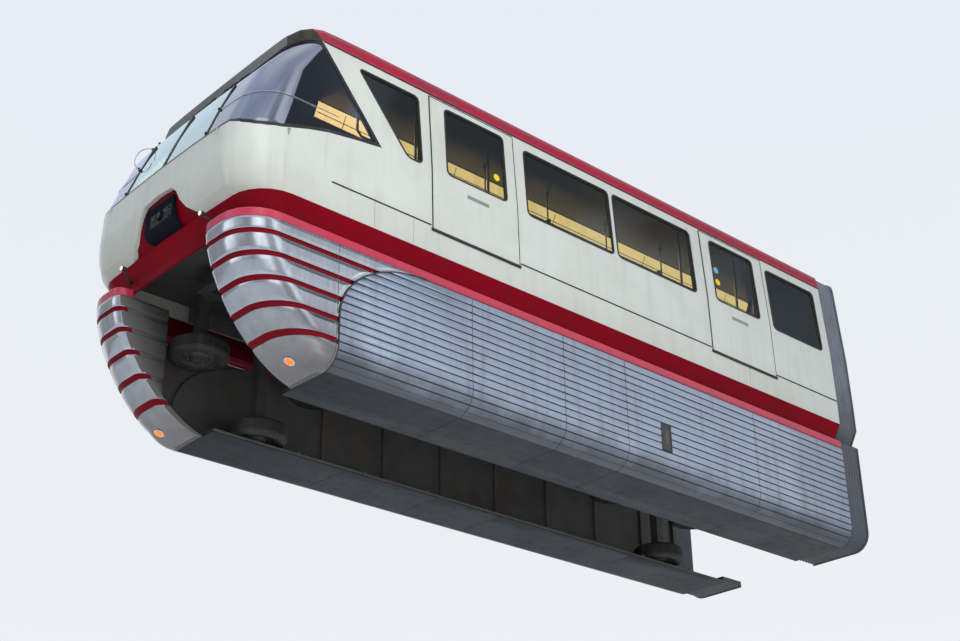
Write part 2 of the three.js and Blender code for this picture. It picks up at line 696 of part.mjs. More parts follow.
// Frame of a bogie whose middle lies at x = 0
function bogieFrame() {
  const inner = sideBeam.y - sideBeam.width / 2;
  const outer = sideBeam.y + sideBeam.width / 2;
  const beamHeights = [sideBeam.bottom, sideBeam.top];
  const armHeights = [sideBeam.bottom + post.step, sideBeam.top - post.step];
  const around = (middle, width) => [middle - width / 2, middle + width / 2];
  const pieces = [-crossBeam.along, crossBeam.along].map((end) =>
    box(around(end, crossBeam.width), [-inner - 1, inner + 1], beamHeights));
  for (const side of [-1, 1]) {
    const across = (a, b) => [Math.min(side * a, side * b), Math.max(side * a, side * b)];
    pieces.push(box(around(0, sideBeam.long), across(inner, outer), beamHeights));
    pieces.push(box([-bearing.half, bearing.half], across(inner, outer), [sideBeam.top - 1, bearing.top]));
    for (const at of [-airSpring.along, airSpring.along]) {
      const heights = [sideBeam.top - 1, floorBottom - airSpring.gap];
      pieces.push(shaft(at, side * sideBeam.y, heights, airSpring.radius));
    }
    for (const wheel of guideWheels) {
      const long = around(wheel.along, post.width);
      const hubTop = wheel.z + guideProfile[0].half + spindle.rest;
      const hubBottom = wheel.z - guideProfile[0].half - spindle.rest;
      const tail = hubBottom - spindle.tail;
      const [near, far] = around(guideY, post.width);
      pieces.push(box(long, across(outer - 1, far), armHeights));
      pieces.push(box(long, across(near, far), [hubTop, armHeights[1]]));
      pieces.push(shaft(wheel.along, side * guideY, [tail, hubTop + 1], spindle.radius));
      pieces.push(shaft(wheel.along, side * guideY, [tail, hubBottom], spindle.flange, 10));
    }
  }
  const boreRadius = axleRadius + journalGap;
  const bore = new THREE.CylinderGeometry(boreRadius, boreRadius, 2 * outer + over, 28);
  bore.translate(0, 0, axleHeight);
  return unite(pieces).subtract(toSolid(bore));
}

function guideWheel() {
  const half = guideProfile.map((row) => [row.r, row.half]);
  const profile = [...half.map(([r, z]) => [r, -z]), ...half.reverse()];
  return turned([...profile, profile[0]], 16);
}

function loadWheels() {
  const profile = [
    ...loadProfile.map((row) => new THREE.Vector2(row.r, -row.y)),
    ...loadProfile.map((row) => new THREE.Vector2(row.r, row.y)).reverse(),
  ];
  return toSolid(new THREE.LatheGeometry(profile, 28));
}

function addBogies() {
  const [frame, twinWheel, tyre] = [bogieFrame(), loadWheels(), guideWheel()];
  const rangeX = [motor.near + seat, motor.far];
  const block = box(rangeX, [-motor.half, motor.half], [motor.bottom, motor.top]);
  for (const { name, x, motorSide } of bogies) {
    addPart(`bogie_frame_${name}`, frame.translate([x, 0, 0]), paint.steel);
    addPart(`load_wheels_${name}`, twinWheel.translate([x, 0, axleHeight]), paint.rubber);
    const middle = motorSide * (rangeX[0] + rangeX[1]) / 2 - (rangeX[0] + rangeX[1]) / 2;
    addPart(`traction_motor_${name}`, block.translate([x + middle, 0, 0]), paint.steel);
    for (const [side, sign] of [['left', 1], ['right', -1]]) {
      for (const wheel of guideWheels) {
        const placed = tyre.translate([x + wheel.along, sign * guideY, wheel.z]);
        addPart(`guide_wheel_${name}_${wheel.name}_${side}`, placed, paint.rubber);
      }
    }
  }
}

addSideWalls();
addDoors();
addRoof();
addNose();
addCabGlass();
addValance();
addSkirts();
addSkirtCaps();
addBellows();
addFloor();
addRearBulkhead();
addInterior();
addCouplerHousing();
addBogies();

export default car;
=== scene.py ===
# Lead car of a straddle-beam monorail train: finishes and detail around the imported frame, in metres.
import json
import math

import bmesh
import bpy
from mathutils import Matrix, Vector


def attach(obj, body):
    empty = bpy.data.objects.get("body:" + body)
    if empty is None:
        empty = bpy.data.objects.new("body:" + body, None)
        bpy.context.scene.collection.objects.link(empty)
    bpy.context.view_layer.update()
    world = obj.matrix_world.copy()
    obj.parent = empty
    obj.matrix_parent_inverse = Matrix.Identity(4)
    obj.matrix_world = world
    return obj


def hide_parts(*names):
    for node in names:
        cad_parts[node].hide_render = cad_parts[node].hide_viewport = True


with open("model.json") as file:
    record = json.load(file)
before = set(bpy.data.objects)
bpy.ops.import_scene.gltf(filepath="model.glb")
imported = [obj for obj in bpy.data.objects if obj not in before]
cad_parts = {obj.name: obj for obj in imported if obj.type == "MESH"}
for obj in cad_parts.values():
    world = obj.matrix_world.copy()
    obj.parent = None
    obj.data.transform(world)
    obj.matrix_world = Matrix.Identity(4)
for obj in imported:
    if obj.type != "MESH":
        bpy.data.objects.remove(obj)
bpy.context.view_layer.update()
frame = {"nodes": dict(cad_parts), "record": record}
bodyOf = {node: body for body, held in frame["record"]["behaviour"]["bodies"].items() for node in held}
sides = {"left": 1, "right": -1}
print("frame loaded")

# Camera, floor and light
cameraLook = {"place": (11.95, 12.39, -7.61), "aim": (0.70, 0.05, 0.82), "roll": -0.73, "lens": 58.0}
studio = {
    "floor": (-7.95, 160.0, (0.74, 0.74, 0.73, 1)),  # level just below the camera, size, colour
    "skyUp": [(0.88, (0.81, 0.87, 0.95, 1)), (0.945, (0.58, 0.68, 0.88, 1)), (1.0, (0.97, 1.0, 1.0, 1))],
    "skyEdge": (0.93, 0.94, 0.96, 1),
    "skyLow": (0.42, 0.43, 0.45, 1),
    "skyStrength": 0.95,
    "darkSides": [                       # dark surroundings that the glass mirrors: way in, start and full
        ((-0.839, -0.545, 0.0), -0.015, 0.015), ((0.259, 0.966, 0.0), 0.0, 0.06),
        ((-0.30, 0.0, 0.954), 0.615, 0.66), ((0.0, 0.0, -1.0), -0.90, -0.84)],
    "darkColours": [(0.075, 0.085, 0.100, 1), (0.170, 0.205, 0.250, 1)],
    "darkPatches": (5.5, 0.50, 0.56),    # scale of the patches, and the noise where the lighter one starts
    "surround": [                        # brightness of the surroundings by direction in degrees from +X
        (-85, 1.0), (-58, 0.36), (-38, 0.42), (-26, 1.35), (-10, 1.25), (6, 0.55), (34, 0.46), (50, 1.35),
        (66, 1.4), (80, 0.55), (92, 0.48), (103, 1.2), (114, 1.0), (125, 0.78), (132, 1.20), (138, 1.20),
        (144, 0.82), (150, 0.68), (160, 1.0)],
    "surroundTop": (0.86, 0.72),         # height of the direction at which the surroundings end and are full
    "clouds": (1.9, 0.74, 1.12),         # scale, darkest and brightest share
    "cloudSide": (0.76, 0.65, 0.0),
    "lamps": [                           # name, place, aim, size, watts, colour
        ("keyLamp", (9.0, 15.0, 9.0), (0.5, 0.0, 0.6), 9.0, 1500.0, (1.0, 0.98, 0.95)),
        ("noseLamp", (17.0, 3.0, 2.0), (4.0, 0.0, 0.6), 6.0, 55.0, (0.93, 0.97, 1.0)),
        ("lowLamp", (6.5, 10.0, -5.4), (0.0, 0.0, -0.5), 5.0, 240.0, (1.0, 0.97, 0.94)),
        ("farLamp", (2.0, -17.0, 6.0), (0.0, 0.0, 0.8), 9.0, 750.0, (0.97, 0.98, 1.0)),
        ("rearLamp", (-18.0, -2.0, 4.0), (-4.0, 0.0, 0.8), 7.0, 420.0, (0.97, 0.98, 1.0))],
}


def addObject(name, data):
    made = bpy.data.objects.new(name, data)
    bpy.context.scene.collection.objects.link(made)
    return made


# Puts a camera or lamp at a place, turned to its aim
def aimAt(made, place, aim, roll=0.0):
    turn = (Vector(aim) - Vector(place)).to_track_quat("-Z", "Y").to_matrix()
    turn = turn @ Matrix.Rotation(math.radians(roll), 3, "Z")
    made.matrix_world = Matrix.Translation(place) @ turn.to_4x4()


def addCamera(look):
    data = bpy.data.cameras.new("camera")
    data.lens = look["lens"]
    data.clip_end = 400
    camera = addObject("camera", data)
    aimAt(camera, look["place"], look["aim"], look["roll"])
    bpy.context.scene.camera = camera


def addLamp(name, place, aim, size, watts, colour):
    data = bpy.data.lights.new(name, "AREA")
    data.energy, data.color = watts, colour
    data.shape, data.size = "DISK", size
    lamp = addObject(name, data)
    lamp.visible_glossy = lamp.visible_camera = False
    aimAt(lamp, place, aim)


# Adds a shader node. A value that is a socket is linked, any other one is set.
def add(tree, kind, values=None, **settings):
    node = tree.nodes.new("ShaderNode" + kind)
    for key, value in settings.items():
        setattr(node, key, value)
    for key, value in (values or {}).items():
        if isinstance(value, bpy.types.NodeSocket):
            tree.links.new(value, node.inputs[key])
        else:
            node.inputs[key].default_value = value
    return node


def stretched(tree, vector, scale):
    return add(tree, "Mapping", {"Vector": vector, "Scale": scale}).outputs["Vector"]


def noiseAt(tree, vector, scale, detail=4.0, rough=0.55):
    values = {"Vector": vector, "Scale": scale, "Detail": detail, "Roughness": rough}
    return add(tree, "TexNoise", values).outputs["Fac"]


def ranged(tree, value, low, high, start=0.0, end=1.0):
    values = {"Value": value, "From Min": low, "From Max": high, "To Min": start, "To Max": end}
    return add(tree, "MapRange", values).outputs["Result"]


def math2(tree, operation, a, b, clamp=True):
    return add(tree, "Math", {0: a, 1: b}, operation=operation, use_clamp=clamp).outputs[0]


def dot(tree, vector, way):
    return add(tree, "VectorMath", {0: vector, 1: way}, operation="DOT_PRODUCT").outputs["Value"]


def mixColour(tree, share, a, b, blend="MIX"):
    return add(tree, "Mix", {0: share, 6: a, 7: b}, data_type="RGBA", blend_type=blend).outputs[2]


# Brightness by direction: a float curve through (degrees, brightness)
def surroundCurve(tree, turn, table):
    node = add(tree, "FloatCurve", {"Value": turn})
    curve = node.mapping.curves[0]
    node.mapping.clip_max_y = 2.0
    for degrees, value in table:
        curve.points.new((degrees + 180.0) / 360.0, value)
    curve.points[0].location = (0.0, 1.0)
    curve.points[-1].location = (1.0, 1.0)
    node.mapping.update()
    return node.outputs[0]


# Sky with dark and bright surroundings for reflections; the camera itself sees a plain pale one
def addSky(look):
    world = bpy.context.scene.world = bpy.data.worlds.new("sky")
    world.use_nodes = True
    tree, white = world.node_tree, (1, 1, 1, 1)
    where = add(tree, "TexCoord").outputs["Generated"]
    parts = add(tree, "SeparateXYZ", {"Vector": where}).outputs
    ramp = add(tree, "ValToRGB", {"Fac": ranged(tree, parts["Z"], -1.0, 1.0)})
    stops = ramp.color_ramp.elements
    stops[0].position, stops[0].color = 0.40, look["skyLow"]
    stops[1].position, stops[1].color = 0.54, look["skyEdge"]
    for place, colour in look["skyUp"]:
        stops.new(place).color = colour
    dark = 1.0
    for way, start, full in look["darkSides"]:
        dark = math2(tree, "MULTIPLY", ranged(tree, dot(tree, where, way), start, full), dark)
    turn = ranged(tree, math2(tree, "ARCTAN2", parts["Y"], parts["X"], clamp=False), -math.pi, math.pi)
    around = ranged(tree, parts["Z"], *look["surroundTop"])
    bright = mixColour(tree, around, white, surroundCurve(tree, turn, look["surround"]))
    size, low, high = look["clouds"]
    clouds = ranged(tree, noiseAt(tree, where, size), 0.36, 0.66, low, high)
    facing = ranged(tree, dot(tree, where, look["cloudSide"]), 0.0, 0.25)
    clouds = mixColour(tree, facing, white, clouds)
    size, low, high = look["darkPatches"]
    patches = ranged(tree, noiseAt(tree, stretched(tree, where, (1.0, 1.0, 1.8)), size, 2.0), low, high)
    sky = mixColour(tree, dark, ramp.outputs["Color"], mixColour(tree, patches, *look["darkColours"]))
    sky = mixColour(tree, 1.0, mixColour(tree, 1.0, sky, bright, "MULTIPLY"), clouds, "MULTIPLY")
    plain = mixColour(tree, ranged(tree, parts["Z"], 0.0, 0.8), look["skyEdge"], look["skyUp"][0][1])
    sky = mixColour(tree, add(tree, "LightPath").outputs["Is Camera Ray"], sky, plain)
    background = tree.nodes["Background"]
    background.inputs["Strength"].default_value = look["skyStrength"]
    tree.links.new(sky, background.inputs["Color"])


# Shader group that several finishes share, with its inputs, its outputs and the object's coordinates
def newGroup(name, inputs, outputs):
    group = bpy.data.node_groups.new(name, "ShaderNodeTree")
    for label, value in inputs.items():
        kind = "NodeSocketVector" if isinstance(value, tuple) else "NodeSocketFloat"
        group.interface.new_socket(label, in_out="INPUT", socket_type=kind).default_value = value
    for label in outputs:
        kind = "NodeSocketVector" if label == "Normal" else "NodeSocketFloat"
        group.interface.new_socket(label, in_out="OUTPUT", socket_type=kind)
    given, result = group.nodes.new("NodeGroupInput").outputs, group.nodes.new("NodeGroupOutput").inputs
    return group, given, result, add(group, "TexCoord").outputs["Object"]


def useGroup(tree, group, values):
    return add(tree, "Group", values, node_tree=group).outputs


# Weather on any surface: broad patches, streaks that run down it, and small specks
def makeWeather():
    tree, given, result, where = newGroup(
        "weather", {"Patch Size": 1.3, "Streak Scale": (9.0, 9.0, 0.7)}, ("Patches", "Streaks", "Specks"))
    clouds = ranged(tree, noiseAt(tree, where, given["Patch Size"], 5.0, 0.6), 0.42, 0.68)
    runs = noiseAt(tree, stretched(tree, where, given["Streak Scale"]), 1.0, 6.0, 0.6)
    tree.links.new(clouds, result["Patches"])
    tree.links.new(ranged(tree, runs, 0.50, 0.74), result["Streaks"])
    tree.links.new(ranged(tree, noiseAt(tree, where, 95.0, 2.0), 0.66, 0.72), result["Specks"])
    return tree


# Mask that thins out with height: low dirt on most finishes, painted shade on the ribbed skirts and darker
# painted reflections on the polished bow bands
def makeLowDirtAndShade():
    tree, given, result, where = newGroup("lowDirtAndShade", {"Bottom": 0.0, "Top": 1.0}, ("Mask",))
    height = add(tree, "SeparateXYZ", {"Vector": where}).outputs["Z"]
    ripple = ranged(tree, noiseAt(tree, where, 3.0, 5.0), 0.3, 0.7, -0.05, 0.05)
    level = math2(tree, "ADD", height, ripple, clamp=False)
    tree.links.new(ranged(tree, level, given["Bottom"], given["Top"], 1.0, 0.0), result["Mask"])
    return tree


# Fine relief: orange peel of paint, grain of rubber, plastic and vinyl, casting skin
def makeGrain():
    tree, given, result, where = newGroup(
        "grain", {"Scale": 60.0, "Strength": 0.1, "Depth": 0.001}, ("Normal",))
    height = noiseAt(tree, where, given["Scale"], 3.0)
    bump = add(tree, "Bump", {"Strength": given["Strength"], "Distance": given["Depth"], "Height": height})
    tree.links.new(bump.outputs["Normal"], result["Normal"])
    return tree


weather, lowDirtAndShade, grain = makeWeather(), makeLowDirtAndShade(), makeGrain()
print("shader groups ready")


def newMaterial(name):
    material = bpy.data.materials.new(name)
    material.use_nodes = True
    return material, material.node_tree, material.node_tree.nodes["Principled BSDF"]


# What each kind of finish has by itself; a name with a capital is the shader's own socket
kinds = {
    "paint": {"patches": 1.3, "layers": ("streaks", "low", "specks"), "duller": 0.3, "grain": 55.0,
              "relief": 0.05, "depth": 0.001, "Metallic": 0.0, "Coat Weight": 0.0, "Coat Roughness": 0.08,
              "Specular IOR Level": 0.5},
    "metal": {"patches": 2.0, "layers": ("streaks", "specks", "low")},
    "soft": {"patches": 4.0, "layers": ("streaks", "low"), "duller": 0.12, "depth": 0.002,
             "Sheen Weight": 0.0},
}


# Paint, bare metal or soft stuff: a tone that fades in patches or along drawn lines, and dirt in layers; on
# the ribbed and polished aluminium the low layer and its colour paint shade and darker reflections
def finish(name, kind, tone, faded, dirtAndShade, rough, shares, more):
    look = {**kinds[kind], **more}
    material, tree, shader = newMaterial(name)
    tone, faded, dirtAndShade = [(*colour, 1) for colour in (tone, faded, dirtAndShade)]
    wear = useGroup(tree, weather, {"Patch Size": look["patches"]})
    where = add(tree, "TexCoord").outputs["Object"] if kind == "metal" else None
    lines = noiseAt(tree, stretched(tree, where, look["lines"]), 1.0, 4.0, 0.7) if where else None
    base = mixColour(tree, ranged(tree, lines, 0.35, 0.65) if where else wear["Patches"], tone, faded)
    masks = {}
    for layer in look["layers"]:
        if layer not in shares:
            continue
        share, *heights = shares[layer] if layer == "low" else (shares[layer],)
        mask = useGroup(tree, lowDirtAndShade, dict(zip(("Bottom", "Top"), heights)))["Mask"] if heights else wear[
            layer.capitalize()]
        masks[layer] = math2(tree, "MULTIPLY", mask, share)
        base = mixColour(tree, masks[layer], base, dirtAndShade)
    tree.links.new(base, shader.inputs["Base Color"])
    dull = wear["Patches"]
    if kind == "paint":
        dull = math2(tree, "ADD", masks["streaks"], masks["low"])
    elif kind == "metal":
        dull = math2(tree, "ADD", masks["streaks"], math2(tree, "MULTIPLY", dull, 0.5))
    dullest = look["dullest"] if kind == "metal" else rough + look["duller"]
    tree.links.new(ranged(tree, dull, 0.0, 1.0, rough, dullest), shader.inputs["Roughness"])
    for socket in (key for key in look if key[0].isupper()):
        shader.inputs[socket].default_value = look[socket]
    if kind == "metal":                  # waves that bend the reflections, under the drawn lines
        waves = noiseAt(tree, stretched(tree, where, look["waves"]), 1.0, 2.0)
        relief = math2(tree, "ADD", math2(tree, "MULTIPLY", waves, look["waviness"]),
                       math2(tree, "MULTIPLY", lines, 0.04))
        normal = add(tree, "Bump", {"Strength": 1.0, "Distance": 0.01, "Height": relief}).outputs["Normal"]
    else:
        values = {"Scale": look["grain"], "Strength": look["relief"], "Depth": look["depth"]}
        normal = useGroup(tree, grain, values)["Normal"]
    tree.links.new(normal, shader.inputs["Normal"])
    return material


# Thin tinted pane: what lies behind shows through the tint, and the sky mirrors more at a flat angle
def glassFinish(name, tint, film, filmTint, mirror, rough, ior, least):
    material, tree, shader = newMaterial(name)
    tree.nodes.remove(shader)
    wear = useGroup(tree, weather, {"Patch Size": 1.6})
    tint = mixColour(tree, math2(tree, "MULTIPLY", wear["Streaks"], film), (*tint, 1), (*filmTint, 1))
    clear = add(tree, "BsdfTransparent", {"Color": tint}).outputs[0]
    gloss = add(tree, "BsdfGlossy", {"Color": (*mirror, 1), "Roughness": rough}).outputs[0]
    edge = add(tree, "Fresnel", {"IOR": ior}).outputs[0]
    outer = math2(tree, "SUBTRACT", 1.0, add(tree, "NewGeometry").outputs["Backfacing"])
    share = math2(tree, "MULTIPLY", ranged(tree, edge, 0.0, 1.0, least, 1.0), outer)
    pane = add(tree, "MixShader", {0: share, 1: clear, 2: gloss})
    tree.links.new(pane.outputs[0], tree.nodes["Material Output"].inputs["Surface"])
    return material


def lampFinish(name, colour, deep, glow, scale, strength):
    material, tree, shader = newMaterial(name)
    colour, deep, glow = (*colour, 1), (*deep, 1), (*glow, 1)
    ribs = noiseAt(tree, add(tree, "TexCoord").outputs["Object"], scale, 2.0)
    tree.links.new(mixColour(tree, ribs, colour, deep), shader.inputs["Base Color"])
    tree.links.new(mixColour(tree, ribs, glow, colour), shader.inputs["Emission Color"])
    shader.inputs["Emission Strength"].default_value = strength
    tree.links.new(ranged(tree, ribs, 0.3, 0.7, 0.15, 0.35), shader.inputs["Roughness"])
    return material


# Finishes by name: kind, tone, faded tone, colour of the dirt and of painted shade, roughness, shares of dirt
# and painted shade, other values.
# The share of the low layer (dirt, and painted shade on the ribbed and polished aluminium) comes with the
# heights where it is full and where it ends.
finishTable = {
    "creamPaint": ("paint", (0.615, 0.65, 0.61), (0.565, 0.595, 0.55), (0.32, 0.30, 0.25), 0.28,
                   {"streaks": 0.20, "specks": 0.25, "low": (0.30, 0.30, 0.85)}, {"Coat Weight": 0.25}),
    # Shaded copy of the red paint: painted shade for the downward-facing waist band and the bow grooves
    "darkRedPaint": ("paint", (0.215, 0.0015, 0.010), (0.17, 0.002, 0.009), (0.06, 0.015, 0.018), 0.34,
                     {"streaks": 0.30, "specks": 0.20, "low": (0.20, 0.05, 0.30)},
                     {"Specular IOR Level": 0.05}),
    "cantRedPaint": ("paint", (0.33, 0.016, 0.040), (0.28, 0.022, 0.045), (0.12, 0.04, 0.045), 0.34,
                     {"streaks": 0.30, "specks": 0.22, "low": (0.0, 0.0, 0.16)},
                     {"Specular IOR Level": 0.35}),
    # Lit copy of the red paint: painted highlight for the upward-facing ledge and the gutter's lip
    "brightRedPaint": ("paint", (0.54, 0.026, 0.070), (0.48, 0.036, 0.080), (0.16, 0.04, 0.045), 0.26,
                       {"streaks": 0.25, "specks": 0.22, "low": (0.25, 0.0, 0.16)}, {"Coat Weight": 0.3}),
    # Brow: near black as painted shade of the roof's front slope
    "browPaint": ("paint", (0.040, 0.036, 0.026), (0.026, 0.024, 0.019), (0.13, 0.115, 0.080), 0.45,
                  {"streaks": 0.45, "specks": 0.3, "low": (0.0, 0.0, 1.0)},
                  {"patches": 5.0, "Specular IOR Level": 0.25}),
    "blackPaint": ("paint", (0.018, 0.018, 0.02), (0.03, 0.03, 0.032), (0.12, 0.115, 0.10), 0.38,
                   {"streaks": 0.25, "specks": 0.2, "low": (0.2, 0.3, 0.8)}, {"patches": 4.0}),
    "navyPaint": ("paint", (0.004, 0.006, 0.014), (0.007, 0.009, 0.018), (0.022, 0.022, 0.026), 0.6,
                  {"streaks": 0.25, "specks": 0.3, "low": (0.2, 0.3, 0.8)},
                  {"patches": 4.0, "Specular IOR Level": 0.05}),
    "frameSteel": ("paint", (0.075, 0.08, 0.088), (0.055, 0.055, 0.058), (0.12, 0.085, 0.05), 0.5,
                   {"streaks": 0.45, "specks": 0.6, "low": (0.3, -1.2, 0.4)},
                   {"patches": 5.0, "grain": 90.0, "relief": 0.2, "Metallic": 0.3}),
    "motorGrey": ("paint", (0.16, 0.175, 0.185), (0.12, 0.13, 0.138), (0.075, 0.06, 0.045), 0.45,
                  {"streaks": 0.5, "specks": 0.6, "low": (0.4, 0.15, 0.5)},
                  {"patches": 6.0, "grain": 120.0, "relief": 0.2, "Metallic": 0.2}),
    "underfloorPaint": ("paint", (0.10, 0.105, 0.11), (0.07, 0.07, 0.072), (0.14, 0.11, 0.08), 0.6,
                        {"streaks": 0.5, "specks": 0.5, "low": (0.2, 0.0, 0.8)}, {"patches": 3.0}),
    "cabinLining": ("paint", (0.16, 0.165, 0.165), (0.13, 0.134, 0.134), (0.09, 0.085, 0.075), 0.55,
                    {"streaks": 0.15, "specks": 0.2, "low": (0.3, 0.6, 1.0)}, {}),
    "ceilingPanel": ("paint", (0.075, 0.072, 0.072), (0.06, 0.058, 0.058), (0.05, 0.047, 0.042), 0.5,
                     {"streaks": 0.15, "specks": 0.2, "low": (0.0, 0.6, 1.0)}, {}),
    # Ribbed skirts: the blue in the tone is a painted sky reflection, and the low layer is painted shade that
    # darkens them towards the bottom
    "ribbedAluminium": ("metal", (0.455, 0.53, 0.66), (0.385, 0.45, 0.56), (0.115, 0.12, 0.135), 0.34,
                        {"streaks": 0.30, "specks": 0.3, "low": (0.95, -1.24, -0.96)},
                        {"lines": (0.6, 40.0, 40.0), "waves": (0.7, 3.0, 2.0), "waviness": 0.10,
                         "dullest": 0.60, "Metallic": 0.75}),
    # Dark sheet under the skirts: painted shade
    "undersideSheet": ("metal", (0.030, 0.034, 0.041), (0.020, 0.022, 0.027), (0.016, 0.016, 0.017), 0.60,
                       {"streaks": 0.5, "specks": 0.5},
                       {"lines": (0.6, 12.0, 12.0), "waves": (0.7, 3.0, 2.0), "waviness": 0.12,
                        "dullest": 0.80, "Metallic": 0.10}),
    # Bow bands: the low layer paints darker reflections towards the bottom
    "polishedAluminium": ("metal", (0.66, 0.70, 0.77), (0.57, 0.61, 0.68), (0.17, 0.145, 0.13), 0.13,
                          {"streaks": 0.26, "specks": 0.35, "low": (0.85, -1.28, -0.55)},
                          {"lines": (10.0, 10.0, 0.8), "waves": (2.2, 2.2, 0.9), "waviness": 0.40,
                           "dullest": 0.30, "Metallic": 0.95}),
    "brightMetal": ("metal", (0.75, 0.76, 0.78), (0.66, 0.67, 0.69), (0.3, 0.28, 0.25), 0.22,
                    {"streaks": 0.25, "specks": 0.3},
                    {"lines": (30.0, 30.0, 30.0), "waves": (2.0, 2.0, 2.0), "waviness": 0.05, "dullest": 0.45,
                     "Metallic": 1.0}),
    # Painted shade in the grooves between the ribs and in the dark strip of the joint rim; also the colour of
    # seams, rivets and the hatch frame
    "ribShade": ("soft", (0.045, 0.05, 0.058), (0.03, 0.032, 0.036), (0.09, 0.085, 0.075), 0.6,
                 {"streaks": 0.2}, {"grain": 70.0, "relief": 0.2}),
    "blackRubber": ("soft", (0.017, 0.017, 0.018), (0.030, 0.030, 0.031), (0.09, 0.086, 0.078), 0.6,
                    {"streaks": 0.2}, {"grain": 140.0, "relief": 0.15}),
    "tyreRubber": ("soft", (0.020, 0.020, 0.021), (0.038, 0.037, 0.036), (0.10, 0.09, 0.075), 0.75,
                   {"streaks": 0.5}, {"grain": 60.0, "relief": 0.35}),
    "bellowsSkin": ("soft", (0.155, 0.175, 0.205), (0.125, 0.142, 0.168), (0.050, 0.056, 0.068), 0.7,
                    {"streaks": 0.45, "low": (0.75, 0.2, 1.1)},
                    {"grain": 260.0, "relief": 0.25, "Sheen Weight": 0.2}),
    "seatVinyl": ("soft", (0.72, 0.50, 0.10), (0.64, 0.42, 0.08), (0.34, 0.22, 0.07), 0.48,
                  {"streaks": 0.15}, {"patches": 6.0, "grain": 220.0, "relief": 0.3}),
    "darkVinyl": ("soft", (0.030, 0.031, 0.034), (0.045, 0.046, 0.05), (0.1, 0.095, 0.085), 0.5,
                  {"streaks": 0.15}, {"patches": 6.0, "grain": 220.0, "relief": 0.3}),
    "floorCovering": ("soft", (0.10, 0.098, 0.095), (0.075, 0.074, 0.072), (0.16, 0.15, 0.13), 0.7,
                      {"streaks": 0.3}, {"patches": 3.0, "grain": 300.0, "relief": 0.4}),
    # Shaded copy of the duct's glow colour: painted shade on the duct's underside
    "ductOlive": ("soft", (0.155, 0.130, 0.045), (0.125, 0.105, 0.035), (0.09, 0.08, 0.04), 0.5,
                  {"streaks": 0.2}, {"patches": 3.0, "grain": 90.0, "relief": 0.1}),
    "labelGrey": ("soft", (0.27, 0.285, 0.275), (0.22, 0.23, 0.22), (0.14, 0.135, 0.12), 0.5,
                  {"streaks": 0.2}, {"grain": 200.0, "relief": 0.1}),
    "dotYellow": ("soft", (0.80, 0.62, 0.02), (0.70, 0.54, 0.02), (0.4, 0.3, 0.05), 0.4,
                  {"streaks": 0.2}, {"grain": 200.0, "relief": 0.05}),
    "dotBlue": ("soft", (0.16, 0.42, 0.72), (0.14, 0.36, 0.62), (0.3, 0.33, 0.36), 0.4,
                {"streaks": 0.2}, {"grain": 200.0, "relief": 0.05}),
}
glassTable = {                           # tint, film's share and tint, mirror, roughness, IOR, least mirrored
    "sideGlass": ((0.46, 0.485, 0.47), 0.35, (0.36, 0.37, 0.35), (0.9, 0.95, 1.0), 0.03, 1.45, 0.20),
    "cabGlass": ((0.66, 0.66, 0.68), 0.30, (0.46, 0.47, 0.49), (0.80, 0.83, 0.97), 0.04, 1.65, 0.42),
    "frontGlass": ((0.60, 0.72, 0.72), 0.25, (0.5, 0.54, 0.54), (0.80, 0.96, 1.0), 0.04, 1.6, 0.62),
}
lampTable = {                            # colour, deep tone, glow, scale of the ribs, strength
    "amberLens": ((0.95, 0.22, 0.02), (0.6, 0.07, 0.0), (1.0, 0.16, 0.02), 90.0, 0.9),
    "clearLens": ((0.92, 0.90, 0.82), (0.6, 0.6, 0.58), (1.0, 0.95, 0.8), 60.0, 0.5),
    # The duct's glow is painted light; the duct is no lamp
    "ceilingGlow": ((0.95, 0.68, 0.28), (0.8, 0.54, 0.18), (1.0, 0.68, 0.24), 4.0, 3.9),
}
finishes = {name: make(name, *row) for make, table in (
    (finish, finishTable), (glassFinish, glassTable), (lampFinish, lampTable)) for name, row in table.items()}
print("finishes ready")


# Piece from a mesh: its materials, its body, its slot, which is not used, the CAD nodes it stands for, and
# how it is worked
def makePiece(name, bm, materials, body="car_body", slot="dark_trim", stands=(), sharp=35.0, bevel=0.0,
              solid=0.0, fair=False):
    mesh = bpy.data.meshes.new(name)
    bm.to_mesh(mesh)
    bm.free()
    inner = ["underfloorPaint"] * len(materials.split()) if solid else []
    for material in materials.split() + inner:
        mesh.materials.append(finishes[material])
    mesh.polygons.foreach_set("use_smooth", [True] * len(mesh.polygons))
    mesh.set_sharp_from_angle(angle=math.radians(sharp))
    piece = addObject(name, mesh)
    if solid:
        wall = piece.modifiers.new("thickness", "SOLIDIFY")
        wall.thickness, wall.offset, wall.material_offset = solid, -1, len(inner)
    if bevel:
        edge = piece.modifiers.new("edge", "BEVEL")
        edge.width, edge.segments = bevel, 2
        edge.limit_method, edge.angle_limit = "ANGLE", math.radians(40)
    if fair:
        piece.modifiers.new("shading", "WEIGHTED_NORMAL").keep_sharp = True
    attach(piece, body)
    if stands:
        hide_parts(*stands)
    return piece


# A left-hand piece and its mirror image
def makePair(name, build, materials, stands=(), **settings):
    for side, sign in sides.items():
        bm = build()
        if sign < 0:
            bmesh.ops.scale(bm, vec=(1, -1, 1), verts=bm.verts)
            bmesh.ops.reverse_faces(bm, faces=bm.faces)
        makePiece(f"{name}_{side}", bm, materials, stands=[f"{node}_{side}" for node in stands], **settings)


def closedMesh(bm):
    bmesh.ops.remove_doubles(bm, verts=bm.verts, dist=0.00005)
    bmesh.ops.recalc_face_normals(bm, faces=bm.faces)
    return bm


def tint(faces, index):
    for face in faces:
        face.material_index = index


# Material of each face by its middle and direction
def tintBy(bm, choose):
    for face in bm.faces:
        face.material_index = choose(face.calc_center_median(), face.normal)


